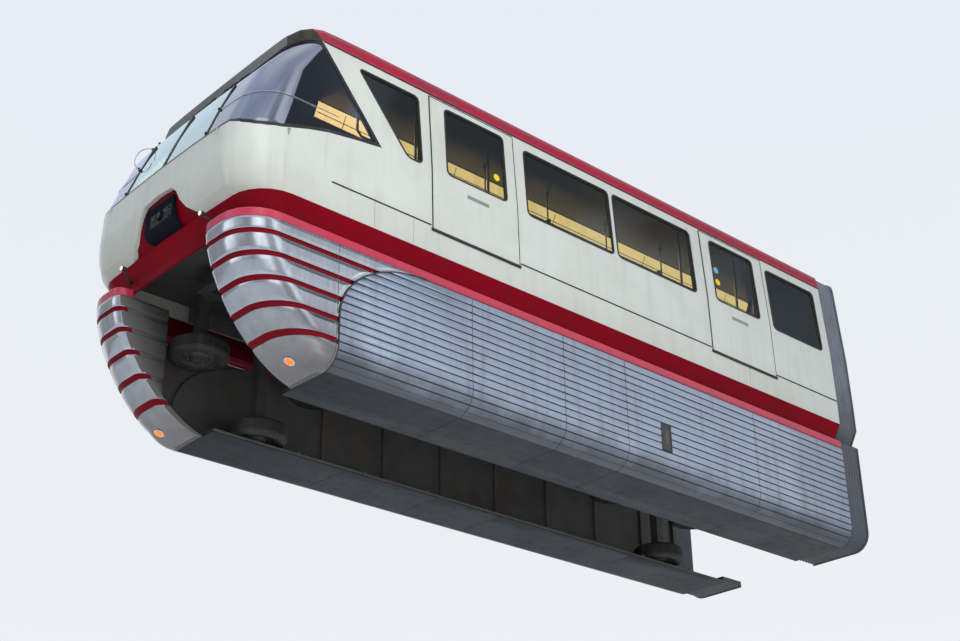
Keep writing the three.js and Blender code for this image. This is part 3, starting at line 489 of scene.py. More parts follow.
# Points of a circle around zero
def circle(count, radius, shift=0.0):
    turns = [2 * math.pi * (i + shift) / count for i in range(count)]
    return [(radius * math.cos(t), radius * math.sin(t)) for t in turns]


# Draws a row of points out through further rows, ring by ring
def loft(bm, rings, closed=True, caps=True, index=0):
    count = len(rings[0])
    row = [bm.verts.new(point) for point in rings[0]]
    pairs = [(i, (i + 1) % count) for i in range(count if closed else count - 1)]
    edges = [bm.edges.new((row[a], row[b])) for a, b in pairs]
    made = [bm.faces.new(row)] if closed and caps else []
    for ring in rings[1:]:
        grown = bmesh.ops.extrude_edge_only(bm, edges=edges)["geom"]
        fresh = {item for item in grown if isinstance(item, bmesh.types.BMVert)}
        made += [item for item in grown if isinstance(item, bmesh.types.BMFace)]
        row = [next(e.other_vert(v) for e in v.link_edges if e.other_vert(v) in fresh) for v in row]
        for vert, point in zip(row, ring):
            vert.co = point
        edges = [bm.edges.get((row[a], row[b])) for a, b in pairs]
    if closed and caps:
        made.append(bm.faces.new(row))
    tint(made, index)
    return made


# Solid from a flat outline, drawn out by a step
def drawnOut(bm, outline, step):
    face = bm.faces.new([bm.verts.new(point) for point in outline])
    grown = bmesh.ops.extrude_face_region(bm, geom=[face])["geom"]
    bmesh.ops.translate(bm, vec=step, verts=[item for item in grown if isinstance(item, bmesh.types.BMVert)])


# Turns an open sheet so that its faces look away from a point inside
def faceAway(bm, inside):
    bmesh.ops.recalc_face_normals(bm, faces=bm.faces)
    outward = 0.0
    for face in bm.faces:
        middle = face.calc_center_median()
        outward += (middle - Vector(inside(middle))).dot(face.normal) * face.calc_area()
    if outward < 0:
        bmesh.ops.reverse_faces(bm, faces=bm.faces)
    return bm


def roundEdges(bm, edges, width, segments):
    bmesh.ops.bevel(bm, geom=edges, offset=width, segments=segments, profile=0.5, affect="EDGES",
                    material=-1)


def addBox(bm, low, high, index=0, bevel=0.0, segments=2):
    low, high = Vector(low), Vector(high)
    spot = Matrix.Translation((low + high) / 2) @ Matrix.Diagonal((*(high - low), 1))
    verts = bmesh.ops.create_cube(bm, size=1, matrix=spot)["verts"]
    tint({face for vert in verts for face in vert.link_faces}, index)
    if bevel:
        roundEdges(bm, list({edge for vert in verts for edge in vert.link_edges}), bevel, segments)
    return verts


def addRod(bm, start, end, radius, index=0, segments=14, endRadius=None):
    start, end = Vector(start), Vector(end)
    axis = end - start
    spot = Matrix.Translation((start + end) / 2) @ axis.to_track_quat("Z", "Y").to_matrix().to_4x4()
    verts = bmesh.ops.create_cone(bm, cap_ends=True, segments=segments, radius1=radius, depth=axis.length,
                                  radius2=radius if endRadius is None else endRadius, matrix=spot)["verts"]
    tint({face for vert in verts for face in vert.link_faces}, index)


# Rod that stands in a surface: its foot and head lie at these distances along the outward direction
def addStud(bm, base, out, foot, head, radius, **settings):
    addRod(bm, Vector(base) + Vector(out) * foot, Vector(base) + Vector(out) * head, radius, **settings)


# Round bar through a row of points
def addBar(bm, points, radius, index=0, segments=10):
    points = [Vector(point) for point in points]
    rings = []
    up = Vector((0, 0, 1)) if abs((points[1] - points[0]).normalized().z) < 0.9 else Vector((1, 0, 0))
    for i, point in enumerate(points):
        along = (points[min(i + 1, len(points) - 1)] - points[max(i - 1, 0)]).normalized()
        across = along.cross(up).normalized()
        up = across.cross(along).normalized()
        rings.append([point + across * a + up * b for a, b in circle(segments, radius)])
    loft(bm, rings, index=index)


# Flat bar that follows a path on a surface; outs is the surface's direction, one for all or one a point
def addStrip(bm, path, outs, width, height, index=0, sink=0.002, loop=False):
    path = [Vector(point) for point in path]
    outs = outs if isinstance(outs, list) else [outs] * len(path)
    rings = []
    for i, (point, out) in enumerate(zip(path, outs)):
        before = path[i - 1] if loop or i > 0 else path[0]
        after = path[(i + 1) % len(path)] if loop or i + 1 < len(path) else path[-1]
        out = Vector(out).normalized()
        half = out.cross((after - before).normalized()).normalized() * width / 2
        rings.append([point - half - out * sink, point - half + out * height,
                      point + half + out * height, point + half - out * sink])
    made = loft(bm, rings + rings[:1] if loop else rings, caps=not loop, index=index)
    if loop:
        bmesh.ops.remove_doubles(bm, verts=list({v for f in made for v in f.verts}), dist=0.0002)


def arc(centre, radii, start, end, steps):
    turns = [math.radians(start + (end - start) * i / steps) for i in range(steps + 1)]
    return [(centre[0] + radii[0] * math.cos(t), centre[1] + radii[1] * math.sin(t)) for t in turns]


def readAlong(table, at):
    for (a, first), (b, second) in zip(table, table[1:]):
        if (at - a) * (at - b) <= 0:
            return first + (second - first) * (at - a) / (b - a)
    return table[0][1] if abs(at - table[0][0]) < abs(at - table[-1][0]) else table[-1][1]


# Shape of the car body, as packed
shell = {
    "rear": -4.37, "sides": [(0.37, 1.56), (0.70, 1.56), (1.40, 1.545), (2.44, 1.478)],
    "bandTop": 2.55, "crown": 2.85, "sill": 0.67, "doorTop": 2.405, "doorGlass": (1.435, 2.325),
    "doors": {"front": (1.47, 2.74, 1.63, 2.52), "rear": (-3.07, -1.82, -2.87, -2.00)},
    "windows": {
        "quarter": [(2.875, 1.425), (3.075, 1.425), (3.725, 2.31), (2.895, 2.31)],
        "middle": [(-1.62, 1.40), (1.30, 1.40), (1.30, 2.30), (-1.62, 2.30)],
        "rear": [(-4.20, 1.40), (-3.16, 1.40), (-3.16, 2.30), (-4.20, 2.30)],
    },
}


def sideAt(z):
    return readAlong(shell["sides"], z)


# Direction in which the side wall faces at a height
def sideOut(z):
    lean = (sideAt(z + 0.01) - sideAt(z - 0.01)) / 0.02 if 0.38 < z < 2.43 else 0.0
    return Vector((0, 1, -lean)).normalized()


# Copy of a CAD node with its loose triangles joined, so that its curves shade smoothly
def smoothCopy(node, materials, slot, choose=None, sharp=30.0, bevel=0.0, cut=None):
    bm = bmesh.new()
    bm.from_mesh(frame["nodes"][node].data)
    bmesh.ops.remove_doubles(bm, verts=bm.verts, dist=0.0001)
    bmesh.ops.dissolve_limit(bm, angle_limit=0.005, verts=bm.verts, edges=bm.edges)
    if cut:
        whole = list(bm.verts) + list(bm.edges) + list(bm.faces)
        bmesh.ops.bisect_plane(bm, geom=whole, plane_co=cut[0], plane_no=cut[1], dist=0.0001)
    if choose:
        tintBy(bm, choose)
    makePiece(f"{node}_finished", bm, materials, bodyOf[node], slot, [node], sharp, bevel, fair=True)


def addFloor(level, size, colour):
    bm, mesh = bmesh.new(), bpy.data.meshes.new("studioFloor")
    spot = Matrix.Translation((0, 0, level))
    bmesh.ops.create_grid(bm, x_segments=1, y_segments=1, size=size / 2, matrix=spot)
    bm.to_mesh(mesh)
    bm.free()
    material, _, shader = newMaterial("studioFloor")
    shader.inputs["Base Color"].default_value = colour
    shader.inputs["Roughness"].default_value = 0.8
    mesh.materials.append(material)
    floorObject = addObject("studioFloor", mesh)


addCamera(cameraLook)
for lamp in studio["lamps"]:
    addLamp(*lamp)
addSky(studio)
addFloor(*studio["floor"])
bpy.context.scene.view_settings.view_transform = "Standard"
print("camera, floor and light ready")

# Painted shell; the brow, painted near black as painted shade of the roof's front slope, ends on the roof at
# a plane
brow = {"edge": (4.185, 0.0, 2.44), "forward": (0.78, 0.0, -0.62)}


def wallFinish(centre, normal):
    return 1 if normal.y * (1 if centre.y > 0 else -1) < -0.7 else 0


def roofFinish(centre, normal):
    if normal.z < -0.3 or (abs(normal.z) < 0.5 and centre.z < 2.56 and normal.y * centre.y < 0):
        return 2
    if (centre - Vector(brow["edge"])).dot(Vector(brow["forward"])) > 0:
        return 3
    return 1 if centre.z < shell["bandTop"] + 0.12 and abs(centre.y) > 1.2 else 0


for side in sides:
    smoothCopy(f"side_wall_{side}", "creamPaint cabinLining", "cream_paint", wallFinish, bevel=0.002)
    for door in shell["doors"]:
        smoothCopy(f"{door}_door_{side}", "creamPaint cabinLining", "cream_paint", wallFinish, bevel=0.003)
        smoothCopy(f"{door}_door_glass_{side}", "sideGlass", "window_glass")
    for pane, glass in [(f"{window}_window", "sideGlass") for window in shell["windows"]] + [
            ("windscreen", "frontGlass"), ("cab_side_glass", "cabGlass")]:
        smoothCopy(f"{pane}_{side}", glass, "window_glass")
    # The ledge takes the lit copy of the red paint, a painted highlight
    smoothCopy(f"skirt_cap_{side}", "brightRedPaint", "bright_red_paint", bevel=0.012)
smoothCopy("roof", "creamPaint cantRedPaint cabinLining browPaint", "cream_paint", roofFinish,
           cut=(brow["edge"], brow["forward"]))
smoothCopy("nose_shell", "creamPaint cabinLining", "cream_paint", sharp=28.0, bevel=0.003)
smoothCopy("windscreen_frame", "blackPaint", "dark_trim", bevel=0.003)
# The waist band takes the shaded copy of the red paint, a painted shade
smoothCopy("waist_valance", "darkRedPaint", "dark_red_paint")
smoothCopy("rear_bulkhead", "cabinLining", "cream_paint", bevel=0.003)
for node in ("underframe", "wheel_well_front", "wheel_well_rear"):
    smoothCopy(node, "underfloorPaint floorCovering", "dark_trim", lambda centre, normal: int(normal.z > 0.5))
print("shell finished")

# Ribbed skirts; the joint with the bow fairing is part of an ellipse: its middle, half length and half height
skirt = {"side": 1.545, "bottom": -1.29, "round": 0.25, "inner": 0.62, "top": 0.0297, "pitch": 0.0882,
         "ribs": 15, "groove": 0.009, "depth": 0.009, "thick": 0.012, "seams": (-2.52, -0.19, 0.81, 2.17),
         "joint": (2.79, -0.75, 1.12, 0.78)}
skirtBend = (skirt["side"] - skirt["round"], skirt["bottom"] + skirt["round"])  # middle of the round edge


# Point of the skirt's section a given way down from its top, moved outwards
def skirtPoint(way, out=0.0):
    straight = skirt["top"] - skirtBend[1]
    if way <= straight:
        return skirt["side"] + out, skirt["top"] - way
    turn = min((way - straight) / skirt["round"], math.pi / 2)
    reach = skirt["round"] + out
    return skirtBend[0] + reach * math.cos(turn), skirtBend[1] - reach * math.sin(turn)


def skirtSideAt(z):
    drop = max(skirtBend[1] - z, 0.0)
    return skirtBend[0] + math.sqrt(max(skirt["round"] ** 2 - drop ** 2, 0.0))


# Where the skirt ends and the bow fairing begins
def jointAt(z, gap=0.0):
    x, middle, long, high = skirt["joint"]
    rise = min(max((z - middle) / (high + gap), 0.0), 1.0)
    return x + (long + gap) * math.sqrt(1 - rise ** 2)


def skirtSection(out=None):
    lips = ((0.0, -1), (skirt["groove"], -1), (skirt["groove"] + 0.003, -0.15), (0.044, 0.05),
            (skirt["pitch"] - 0.004, -0.15), (skirt["pitch"] - 0.001, -1))
    rows = [skirtPoint(rib * skirt["pitch"] + lip, skirt["depth"] * share if out is None else out)
            for rib in range(skirt["ribs"]) for lip, share in lips]
    whole = skirt["top"] - skirtBend[1] + skirt["round"] * math.pi / 2
    start = skirt["ribs"] * skirt["pitch"]
    rows += [skirtPoint(start + (whole - start) * i / 6, -0.001 if out is None else out) for i in range(7)]
    return rows + [(y, skirt["bottom"] - (out or 0.0)) for y in (1.10, 0.86, skirt["inner"])]


# Faces of the skirt: the grooves between the ribs and the seams take the dark finish, which paints the
# grooves' shade, and the underside takes a dark sheet as painted shade
def skirtFinish(centre, normal):
    drop, shift = skirtBend[1] - centre.z, centre.y - skirtBend[0]
    reach = (shift if drop < 0 else math.hypot(shift, drop)) - skirt["round"]
    if centre.z < skirt["bottom"] + 0.004:
        return 2
    sunk = reach < -0.005 and centre.y > 1.3
    return 1 if sunk or any(abs(centre.x - seam) < 0.003 for seam in skirt["seams"]) else 0


def buildSkirt():
    bm = bmesh.new()
    plain, sunk = skirtSection(), skirtSection(-0.007)
    rings = [[(shell["rear"], y, z) for y, z in plain]]
    for seam in skirt["seams"]:
        for shift, rows in ((-0.0035, plain), (-0.002, sunk), (0.002, sunk), (0.0035, plain)):
            rings.append([(seam + shift, y, z) for y, z in rows])
    rings.append([(jointAt(z), y, z) for y, z in plain])
    loft(bm, rings, closed=False)
    tintBy(bm, skirtFinish)
    return faceAway(bm, lambda centre: (centre.x, 1.0, -0.4))


makePair("ribbed_skirt", buildSkirt, "ribbedAluminium ribShade undersideSheet", slot="ribbed_aluminium",
         stands=["skirt"], solid=skirt["thick"], sharp=25.0)

# Polished bow fairings: bright bands with grooves between them in the shaded copy of the red paint, a painted
# shade
bow = {"inner": 0.80, "front": 5.085, "heel": 3.98, "corner": 0.43, "power": 1.6, "nib": 0.12,
       "deckEnd": 4.45, "grooves": (-0.12, -0.34, -0.57, -0.80, -1.03), "groove": 0.026, "depth": 0.014,
       "thick": 0.008, "seam": 3.94}


def inGroove(z, reach):
    return any(abs(z - groove) < reach for groove in bow["grooves"])


def bowFrontAt(z):
    depth = min(max((0.03 - z) / (0.03 - skirt["bottom"]), 0.0), 1.0)
    return bow["heel"] + (bow["front"] - bow["heel"]) * (1 - depth ** bow["power"]) ** (1 / bow["power"])


def bowOutline(z, inset):
    front, side, inner = bowFrontAt(z) - inset, skirtSideAt(z) - inset, bow["inner"] + inset
    joint = jointAt(z, 0.003)
    room = bowFrontAt(z) - (skirt["joint"][0] + skirt["joint"][2]) - 0.02
    corner = max(min(bow["corner"], room) - inset, 0.012)
    nib = min(bow["nib"], corner)
    heel = max(front - corner, joint)
    return [(min(bow["deckEnd"], front - nib - 0.004), inner),
            *arc((front - nib, inner + nib), (nib, nib), -90, 0, 5),
            *arc((front - corner, side - corner), (corner, corner), 0, 90, 14),
            *[(heel + (joint - heel) * i / 10, side) for i in range(1, 11)]]


def bowLevels():
    half, deep = bow["groove"], bow["depth"]
    levels = [(skirt["top"], 0.0)]
    for groove in bow["grooves"]:
        above, top = levels[-1][0], groove + half
        levels += [(above + (top + 0.006 - above) * i / 4, 0.0) for i in range(1, 5)]
        levels += [(top, 0.003), (top - 0.002, deep), (groove, deep), (groove - half + 0.002, deep),
                   (groove - half, 0.003), (groove - half - 0.006, 0.0)]
    above = levels[-1][0]
    shares = [math.sin(math.pi / 2 * i / 12) for i in range(1, 13)]
    return levels + [(above + (skirt["bottom"] - above) * share, 0.0) for share in shares]


def buildBow():
    bm = bmesh.new()
    loft(bm, [[(x, y, z) for x, y in bowOutline(z, inset)] for z, inset in bowLevels()], closed=False)
    inside = bow["inner"] + bow["depth"] + 0.001
    tintBy(bm, lambda centre, normal: 2 if centre.y < inside else int(inGroove(centre.z, bow["groove"])))
    lowest = [edge for edge in bm.edges
              if edge.is_boundary and all(abs(v.co.z - skirt["bottom"]) < 1e-5 for v in edge.verts)]
    bmesh.ops.contextual_create(bm, geom=lowest)
    return faceAway(bm, lambda centre: (min(centre.x, 4.3) - 0.3, 1.2, centre.z + 0.3))


makePair("bow_bands", buildBow, "polishedAluminium darkRedPaint underfloorPaint", slot="polished_aluminium",
         stands=["bow_fairing"], solid=bow["thick"], sharp=32.0)
print("skirts and bow fairings done")


# Flat lining on the inner side of the skirts and fairings, with posts that stay clear of the turned bogies
lining = {"side": 1.505, "round": 0.21, "deck": -1.25, "straight": 2.7, "front": 3.905,
          "posts": 8, "firstPost": -3.72, "postStep": 0.93}


def buildSkirtLining():
    bm = bmesh.new()
    rows = [(lining["side"], 0.02 - 0.11 * i) for i in range(8)]
    rows += arc(skirtBend, [lining["round"]] * 2, 0, -90, 6)
    rows += [(skirt["inner"], lining["deck"]), (skirt["inner"], skirt["bottom"] + 0.012)]
    straight, middle = lining["straight"], skirt["joint"][1]
    loft(bm, [[(x if z < middle or x < straight else jointAt(z), y, z) for y, z in rows]
              for x in (shell["rear"], straight, lining["front"])], closed=False)
    for i in range(lining["posts"]):
        x = lining["firstPost"] + lining["postStep"] * i
        for y0, y1, z0, z1 in ((1.47, 1.507, -1.0, -0.02), (0.64, 1.28, -1.252, -1.215)):
            addBox(bm, (x - 0.02, y0, z0), (x + 0.02, y1, z1), bevel=0.004)
    return bm


makePair("skirt_lining", buildSkirtLining, "underfloorPaint", slot="ribbed_aluminium")


# Rim that covers the joint between skirt and fairing, with its rivets; its thin dark strip is a painted
# shadow of the gap
def buildJointRim():
    bm = bmesh.new()
    x, middle, long, high = skirt["joint"]
    path = [(x + along, skirt["side"], z) for along, z in arc((0, middle), (long, high), 89.4, 0, 32)]
    outs = [(0, 1, 0)] * len(path)
    for i in range(1, 16):
        way = skirt["top"] - middle + (skirt["round"] * math.pi / 2 + 0.29) * i / 15
        (y, z), (innerY, innerZ) = skirtPoint(way), skirtPoint(way, -0.1)
        path.append((x + long, y, z))
        outs.append((0, y - innerY, z - innerZ))
    addStrip(bm, path, outs, 0.011, 0.003, index=1, sink=0.008)
    for spot, out in list(zip(path, outs))[2::3]:
        base = Vector(spot) + Vector((0.021, 0, 0.008))
        addStud(bm, base, Vector(out).normalized(), -0.004, 0.003, 0.006, segments=8)
    for z in [-0.045 * step for step in range(26)]:
        if not inGroove(z, 0.035):
            base = (bow["seam"] + 0.018, skirtSideAt(z), z)
            addStud(bm, base, (0, 1, 0), -0.003, 0.0025, 0.0045, segments=8)
    return closedMesh(bm)


makePair("joint_rim", buildJointRim, "brightMetal ribShade", slot="polished_aluminium", bevel=0.001)


# Seam where two plates of the fairing meet
def buildBowSeam():
    bm = bmesh.new()
    path = [(bow["seam"], skirtSideAt(z) - (bow["depth"] if inGroove(z, 0.03) else 0), z)
            for z in [0.026 - 1.29 * i / 40 for i in range(41)]]
    addStrip(bm, path, (0, 1, 0), 0.005, 0.0012)
    return closedMesh(bm)


makePair("bow_seam", buildBowSeam, "ribShade", slot="polished_aluminium")

# Marker lamp low on each bow
marker = {"side": 1.12, "height": -1.215, "size": 0.048}


def buildMarker():
    bm = bmesh.new()
    spot, lower = [Vector((*min(bowOutline(z, 0.0), key=lambda p: abs(p[1] - marker["side"])), z))
                   for z in (marker["height"], marker["height"] - 0.05)]
    out = (spot - lower).cross(Vector((0, 1, 0))).normalized()
    out = out if out.x > 0 else -out
    addStud(bm, spot, out, -0.01, 0.008, marker["size"] * 1.25, index=1, segments=20)
    addStud(bm, spot, out, 0.006, 0.022, marker["size"], segments=20, endRadius=marker["size"] * 0.7)
    return closedMesh(bm)


makePair("bow_marker", buildMarker, "amberLens brightMetal", slot="polished_aluminium", bevel=0.002)

# Small hatch in the skirt: a plate in a frame, and a strap with two screws
hatch = {"rear": -0.916, "front": -0.766, "foot": -0.926, "top": -0.613}


def buildHatch():
    bm = bmesh.new()
    (x0, x1, z0, z1), y = hatch.values(), skirt["side"]
    middle = (x0 + x1) / 2
    bar = (0.01, 0.006, 0, 0.001)
    for a0, a1, b0, b1, (sink, proud, index, bevel) in (
            (x0, x1, z0, z1, (0.012, 0.0025, 1, 0)),
            (x0 - 0.01, x0 + 0.008, z0 - 0.01, z1 + 0.01, bar),
            (x1 - 0.008, x1 + 0.01, z0 - 0.01, z1 + 0.01, bar),
            (x0, x1, z0 - 0.01, z0 + 0.008, bar), (x0, x1, z1 - 0.008, z1 + 0.01, bar),
            (middle - 0.028, middle + 0.028, z0 + 0.07, z1 - 0.07, (0.008, 0.006, 2, 0.002))):
        addBox(bm, (a0, y - sink, b0), (a1, y + proud, b1), index, bevel)
    for z in (z0 + 0.11, z1 - 0.11):
        addStud(bm, (middle, y, z), (0, 1, 0), 0, 0.008, 0.009, segments=10)
    return bm


makePair("skirt_hatch", buildHatch, "ribShade blackPaint underfloorPaint", slot="ribbed_aluminium")

# Gangway bellows: a pleated skin between two end frames
bellows = {"start": -4.3703, "end": -4.76, "pleats": 6, "peak": 0.026, "valley": 0.050, "inner": 0.094,
           "frame": 0.012,
           "fold": ((0.12, 0.75), (0.35, 0.1), (0.5, 0.0), (0.65, 0.1), (0.88, 0.75), (1.0, 1.0))}


def roofArch(half, crown, inset, steps=18):
    rise = crown - inset - shell["bandTop"]
    bend = lambda value: math.copysign(abs(value) ** 0.85, value)
    turns = [math.pi * i / steps for i in range(steps + 1)]
    return [((half - inset - 0.008) * bend(math.cos(t)), shell["bandTop"] + rise * bend(math.sin(t)))
            for t in turns]


def bodySection(inset):
    side = [(skirt["inner"], skirt["bottom"] + inset),
            *arc(skirtBend, [skirt["round"] - inset] * 2, -90, 0, 6),
            (skirt["side"] - inset, 0.125), (1.46 - inset, 0.19)]
    side += [(y - inset, z) for z, y in shell["sides"]]
    return side + roofArch(1.478, shell["crown"], inset) + [(-y, z) for y, z in reversed(side)]


def buildBellows():
    bm = bmesh.new()
    start, peak, valley, rim = bellows["start"], bellows["peak"], bellows["valley"], bellows["frame"]
    length, pleats = bellows["end"] - start, bellows["pleats"]
    inside = bodySection(bellows["inner"])[::-1]
    stations = [(0.0, rim), (0.03, rim), (0.031, valley)]
    stations += [(0.035 + 0.93 * (pleat + part) / pleats, peak + (valley - peak) * depth)
                 for pleat in range(pleats) for part, depth in bellows["fold"]]
    stations += [(0.969, valley), (0.97, rim), (1.0, rim)]
    loft(bm, [[(start + length * share, y, z) for y, z in bodySection(inset) + inside]
              for share, inset in stations])
    tintBy(bm, lambda centre, normal: 0 if 0.0305 <= (centre.x - start) / length <= 0.9695 else 1)
    return closedMesh(bm)


makePiece("bellows_skin", buildBellows(), "bellowsSkin frameSteel", slot="bellows_rubber",
          stands=["gangway_bellows"], sharp=50.0)
print("joint, hatch and bellows done")

# Window and door rubbers
rubbers = {"corner": 0.07, "width": 0.019, "height": 0.006, "doorProud": 0.008,
           "mullion": (-0.195, -0.12), "mullionEnds": (1.39, 2.31)}


def roundedOutline(points, radius, steps=5):
    rows = []
    for i, corner in enumerate(points):
        corner = Vector(corner)
        start, end = [corner + (Vector(other) - corner).normalized() * radius
                      for other in (points[i - 1], points[(i + 1) % len(points)])]
        for t in [step / steps for step in range(steps + 1)]:
            rows.append(start * (1 - t) ** 2 + corner * 2 * t * (1 - t) + end * t ** 2)
    return rows


# Strip that follows points (along, height) on the side wall
def wallStrip(bm, rows, width, height, out=0.0, **settings):
    path = [(x, sideAt(z) + out, z) for x, z in rows]
    addStrip(bm, path, [sideOut(z) for _, z in rows], width, height, **settings)


def rectangle(x0, x1, z0, z1):
    return [(x0, z0), (x1, z0), (x1, z1), (x0, z1)]


def buildWindowRubbers():
    bm = bmesh.new()
    (rear, bottom), _, (front, top), _ = shell["windows"]["middle"]
    low, high = rubbers["mullion"]
    panes = [(shell["windows"]["quarter"], 0.0), (shell["windows"]["rear"], 0.0),
             (rectangle(rear, low, bottom, top), 0.0), (rectangle(high, front, bottom, top), 0.0)]
    for door in shell["doors"].values():
        panes.append((rectangle(*door[2:], *shell["doorGlass"]), rubbers["doorProud"]))
    for outline, out in panes:
        wallStrip(bm, roundedOutline(outline, rubbers["corner"]), rubbers["width"], rubbers["height"], out,
                  sink=0.02, loop=True)
    return bm


makePair("window_rubber", buildWindowRubbers, "blackRubber", sharp=50.0)


# Painted post between the two panes of the middle window
def buildMullion():
    bm = bmesh.new()
    (low, high), (bottom, top) = rubbers["mullion"], rubbers["mullionEnds"]
    rows = []
    for corners in ([(low - 0.2, bottom), (low, bottom), (low, top), (low - 0.2, top)],
                    [(high + 0.2, top), (high, top), (high, bottom), (high + 0.2, bottom)]):
        side = roundedOutline(corners, rubbers["corner"])
        rows += side[len(side) // 4:3 * (len(side) // 4)]
    drawnOut(bm, [(p.x, sideAt(p.y) - 0.018, p.y) for p in rows], (0, 0.018, 0))
    return closedMesh(bm)


makePair("window_post", buildMullion, "creamPaint", slot="cream_paint")

# Seams, door tracks, waist line and gutter
trims = {"waist": 0.70, "waistFront": 4.075, "waistHeight": 0.015, "track": 0.652, "trackHeight": 0.030,
         "gutter": 2.437, "gutterFront": 4.19, "seam": 0.012}


def buildSeams():
    bm = bmesh.new()
    outward, z, top = (0, 1, 0), trims["waist"], shell["doorTop"]
    ends = [trims["waistFront"], *[x for rear, front, _, _ in shell["doors"].values()
                                   for x in (front + 0.02, rear - 0.02)], shell["rear"] + 0.005]
    for start, end in zip(ends[::2], ends[1::2]):
        addStrip(bm, [(start, sideAt(z), z), (end, sideAt(z), z)], outward, trims["waistHeight"], 0.006)
    for rear, front, _, _ in shell["doors"].values():
        for x in (rear + 0.002, front - 0.002):
            wallStrip(bm, [(x, trims["track"] + 0.02), (x, 1.40), (x, top)], trims["seam"], 0.0095)
        path = [(front + 0.015, 1.56, trims["track"]), (rear - 0.015, 1.56, trims["track"])]
        addStrip(bm, path, outward, trims["trackHeight"], 0.016)
        addStrip(bm, [(front, sideAt(top), top), (rear, sideAt(top), top)], sideOut(2.4), 0.012, 0.0095)
    z = trims["gutter"]
    addStrip(bm, [(trims["gutterFront"], sideAt(z), z), (shell["rear"], sideAt(z), z)], outward, 0.014, 0.010)
    return closedMesh(bm)


makePair("side_seams", buildSeams, "blackRubber", bevel=0.0015)


# Pressed frames round the doors, the gutter's painted lip and the plates below the door windows
doorDress = {"frame": 0.035, "plateHalf": 0.16, "plateHeight": 1.262, "plateWide": 0.045}


def buildDoorDress():
    bm = bmesh.new()
    half, z = doorDress["plateHalf"], doorDress["plateHeight"]
    for rear, front, glassRear, glassFront in shell["doors"].values():
        for x in (rear + doorDress["frame"], front - doorDress["frame"]):
            rows = [(x, shell["sill"] + 0.03), (x, 1.40), (x, shell["doorTop"] - 0.04)]
            wallStrip(bm, rows, 0.016, 0.004, 0.008)
        middle = (glassRear + glassFront) / 2
        wallStrip(bm, [(middle + half, z), (middle - half, z)], doorDress["plateWide"], 0.003, 0.008, index=1)
    y, z = sideAt(2.44), trims["gutter"] + 0.013
    # The gutter's lip takes the lit copy of the red paint, a painted highlight
    addStrip(bm, [(trims["gutterFront"], y, z), (shell["rear"], y, z)], (0, 1, 0), 0.016, 0.014, index=2)
    return closedMesh(bm)


makePair("door_dress", buildDoorDress, "creamPaint labelGrey brightRedPaint", slot="cream_paint", bevel=0.001)


# Round stickers without marks: along, height and material
dots = {"radius": 0.045, "places": ((1.76, 1.72, 0), (-2.09, 1.725, 0), (-2.085, 1.90, 1))}


def buildDots():
    bm = bmesh.new()
    for x, z, index in dots["places"]:
        base = (x, sideAt(z) - 0.003, z)
        addStud(bm, base, sideOut(z), 0, 0.0015, dots["radius"], index=index, segments=24)
    return bm


makePair("door_dots", buildDots, "dotYellow dotBlue")
print("window rubbers, seams and door trim done")

# Cabin ceiling: dark panels, a glowing duct along the middle and grab rails below it
ceiling = {"front": 3.42, "rear": -4.30, "top": (0.335, 2.60), "foot": (0.265, 2.455), "side": (1.385, 2.452),
           "rail": (0.60, 2.20), "railEnds": (3.05, -4.05), "posts": (2.62, 1.52, -1.86, -2.98)}


def buildCeiling():
    bm = bmesh.new()
    half = ceiling["top"][0]
    rows = [ceiling["side"], (1.22, 2.52), (0.90, 2.58), (half + 0.03, 2.625), (half + 0.02, 2.66)]
    rows = rows + [(-y, z) for y, z in reversed(rows)]
    loft(bm, [[(x, y, z) for y, z in rows] for x in (ceiling["front"] + 0.75, ceiling["rear"])], closed=False)
    return faceAway(bm, lambda centre: (centre.x, 0, 6.0))


makePiece("cabin_ceiling", buildCeiling(), "ceilingPanel", solid=0.006, sharp=20.0)


# Duct along the ceiling: slanted sides that glow as painted light, with dark trim lines, and a dull underside
# in an olive that is their painted shade
def buildCeilingDuct():
    bm = bmesh.new()
    (half, z), (foot, low), front, rear = ceiling["top"], ceiling["foot"], ceiling["front"], ceiling["rear"]
    rows = [(half, z + 0.03), (half, z), (foot, low), (-foot, low), (-half, z), (-half, z + 0.03)]
    loft(bm, [[(x, y, h) for y, h in rows] for x in (front, rear + 0.03)])
    tintBy(bm, lambda centre, normal: 1 if abs(centre.y) < 0.01 else 0)
    for side in (-1, 1):
        y, h = side * (half + (foot - half) * 0.6), z + (low - z) * 0.6
        addBar(bm, [(front - 0.02, y, h), (rear + 0.06, y, h)], 0.005, index=2, segments=8)
        for x in [front - 1.7 * i - 0.4 for i in range(5)]:
            addBar(bm, [(x, side * half, z), (x, side * foot, low)], 0.005, index=2, segments=6)
    return closedMesh(bm)


makePiece("ceiling_duct", buildCeilingDuct(), "ceilingGlow ductOlive blackRubber", slot="seat_vinyl",
          sharp=40.0)


def buildRails():
    bm = bmesh.new()
    (y, z), (front, rear) = ceiling["rail"], ceiling["railEnds"]
    addBar(bm, [(x, y, h) for x, h in ((front, 2.56), (front, z + 0.06), (front - 0.06, z), (rear + 0.06, z),
                                       (rear, z + 0.06), (rear, 2.56))], 0.016)
    rods = [(front - 0.9 - 1.06 * i, y, low, 2.60, radius, segments)
            for i in range(6) for low, radius, segments in ((z, 0.011, 8), (2.585, 0.03, 12))]
    rods += [(x, 1.12, 0.66, top, radius, segments)
             for x in ceiling["posts"] for top, radius, segments in ((2.53, 0.016, 10), (0.672, 0.04, 14))]
    for x, across, low, top, radius, segments in rods:
        addRod(bm, (x, across, low), (x, across, top), radius, segments=segments)
    return bm


makePair("grab_rail", buildRails, "brightMetal", sharp=50.0)
print("ceiling and rails done")

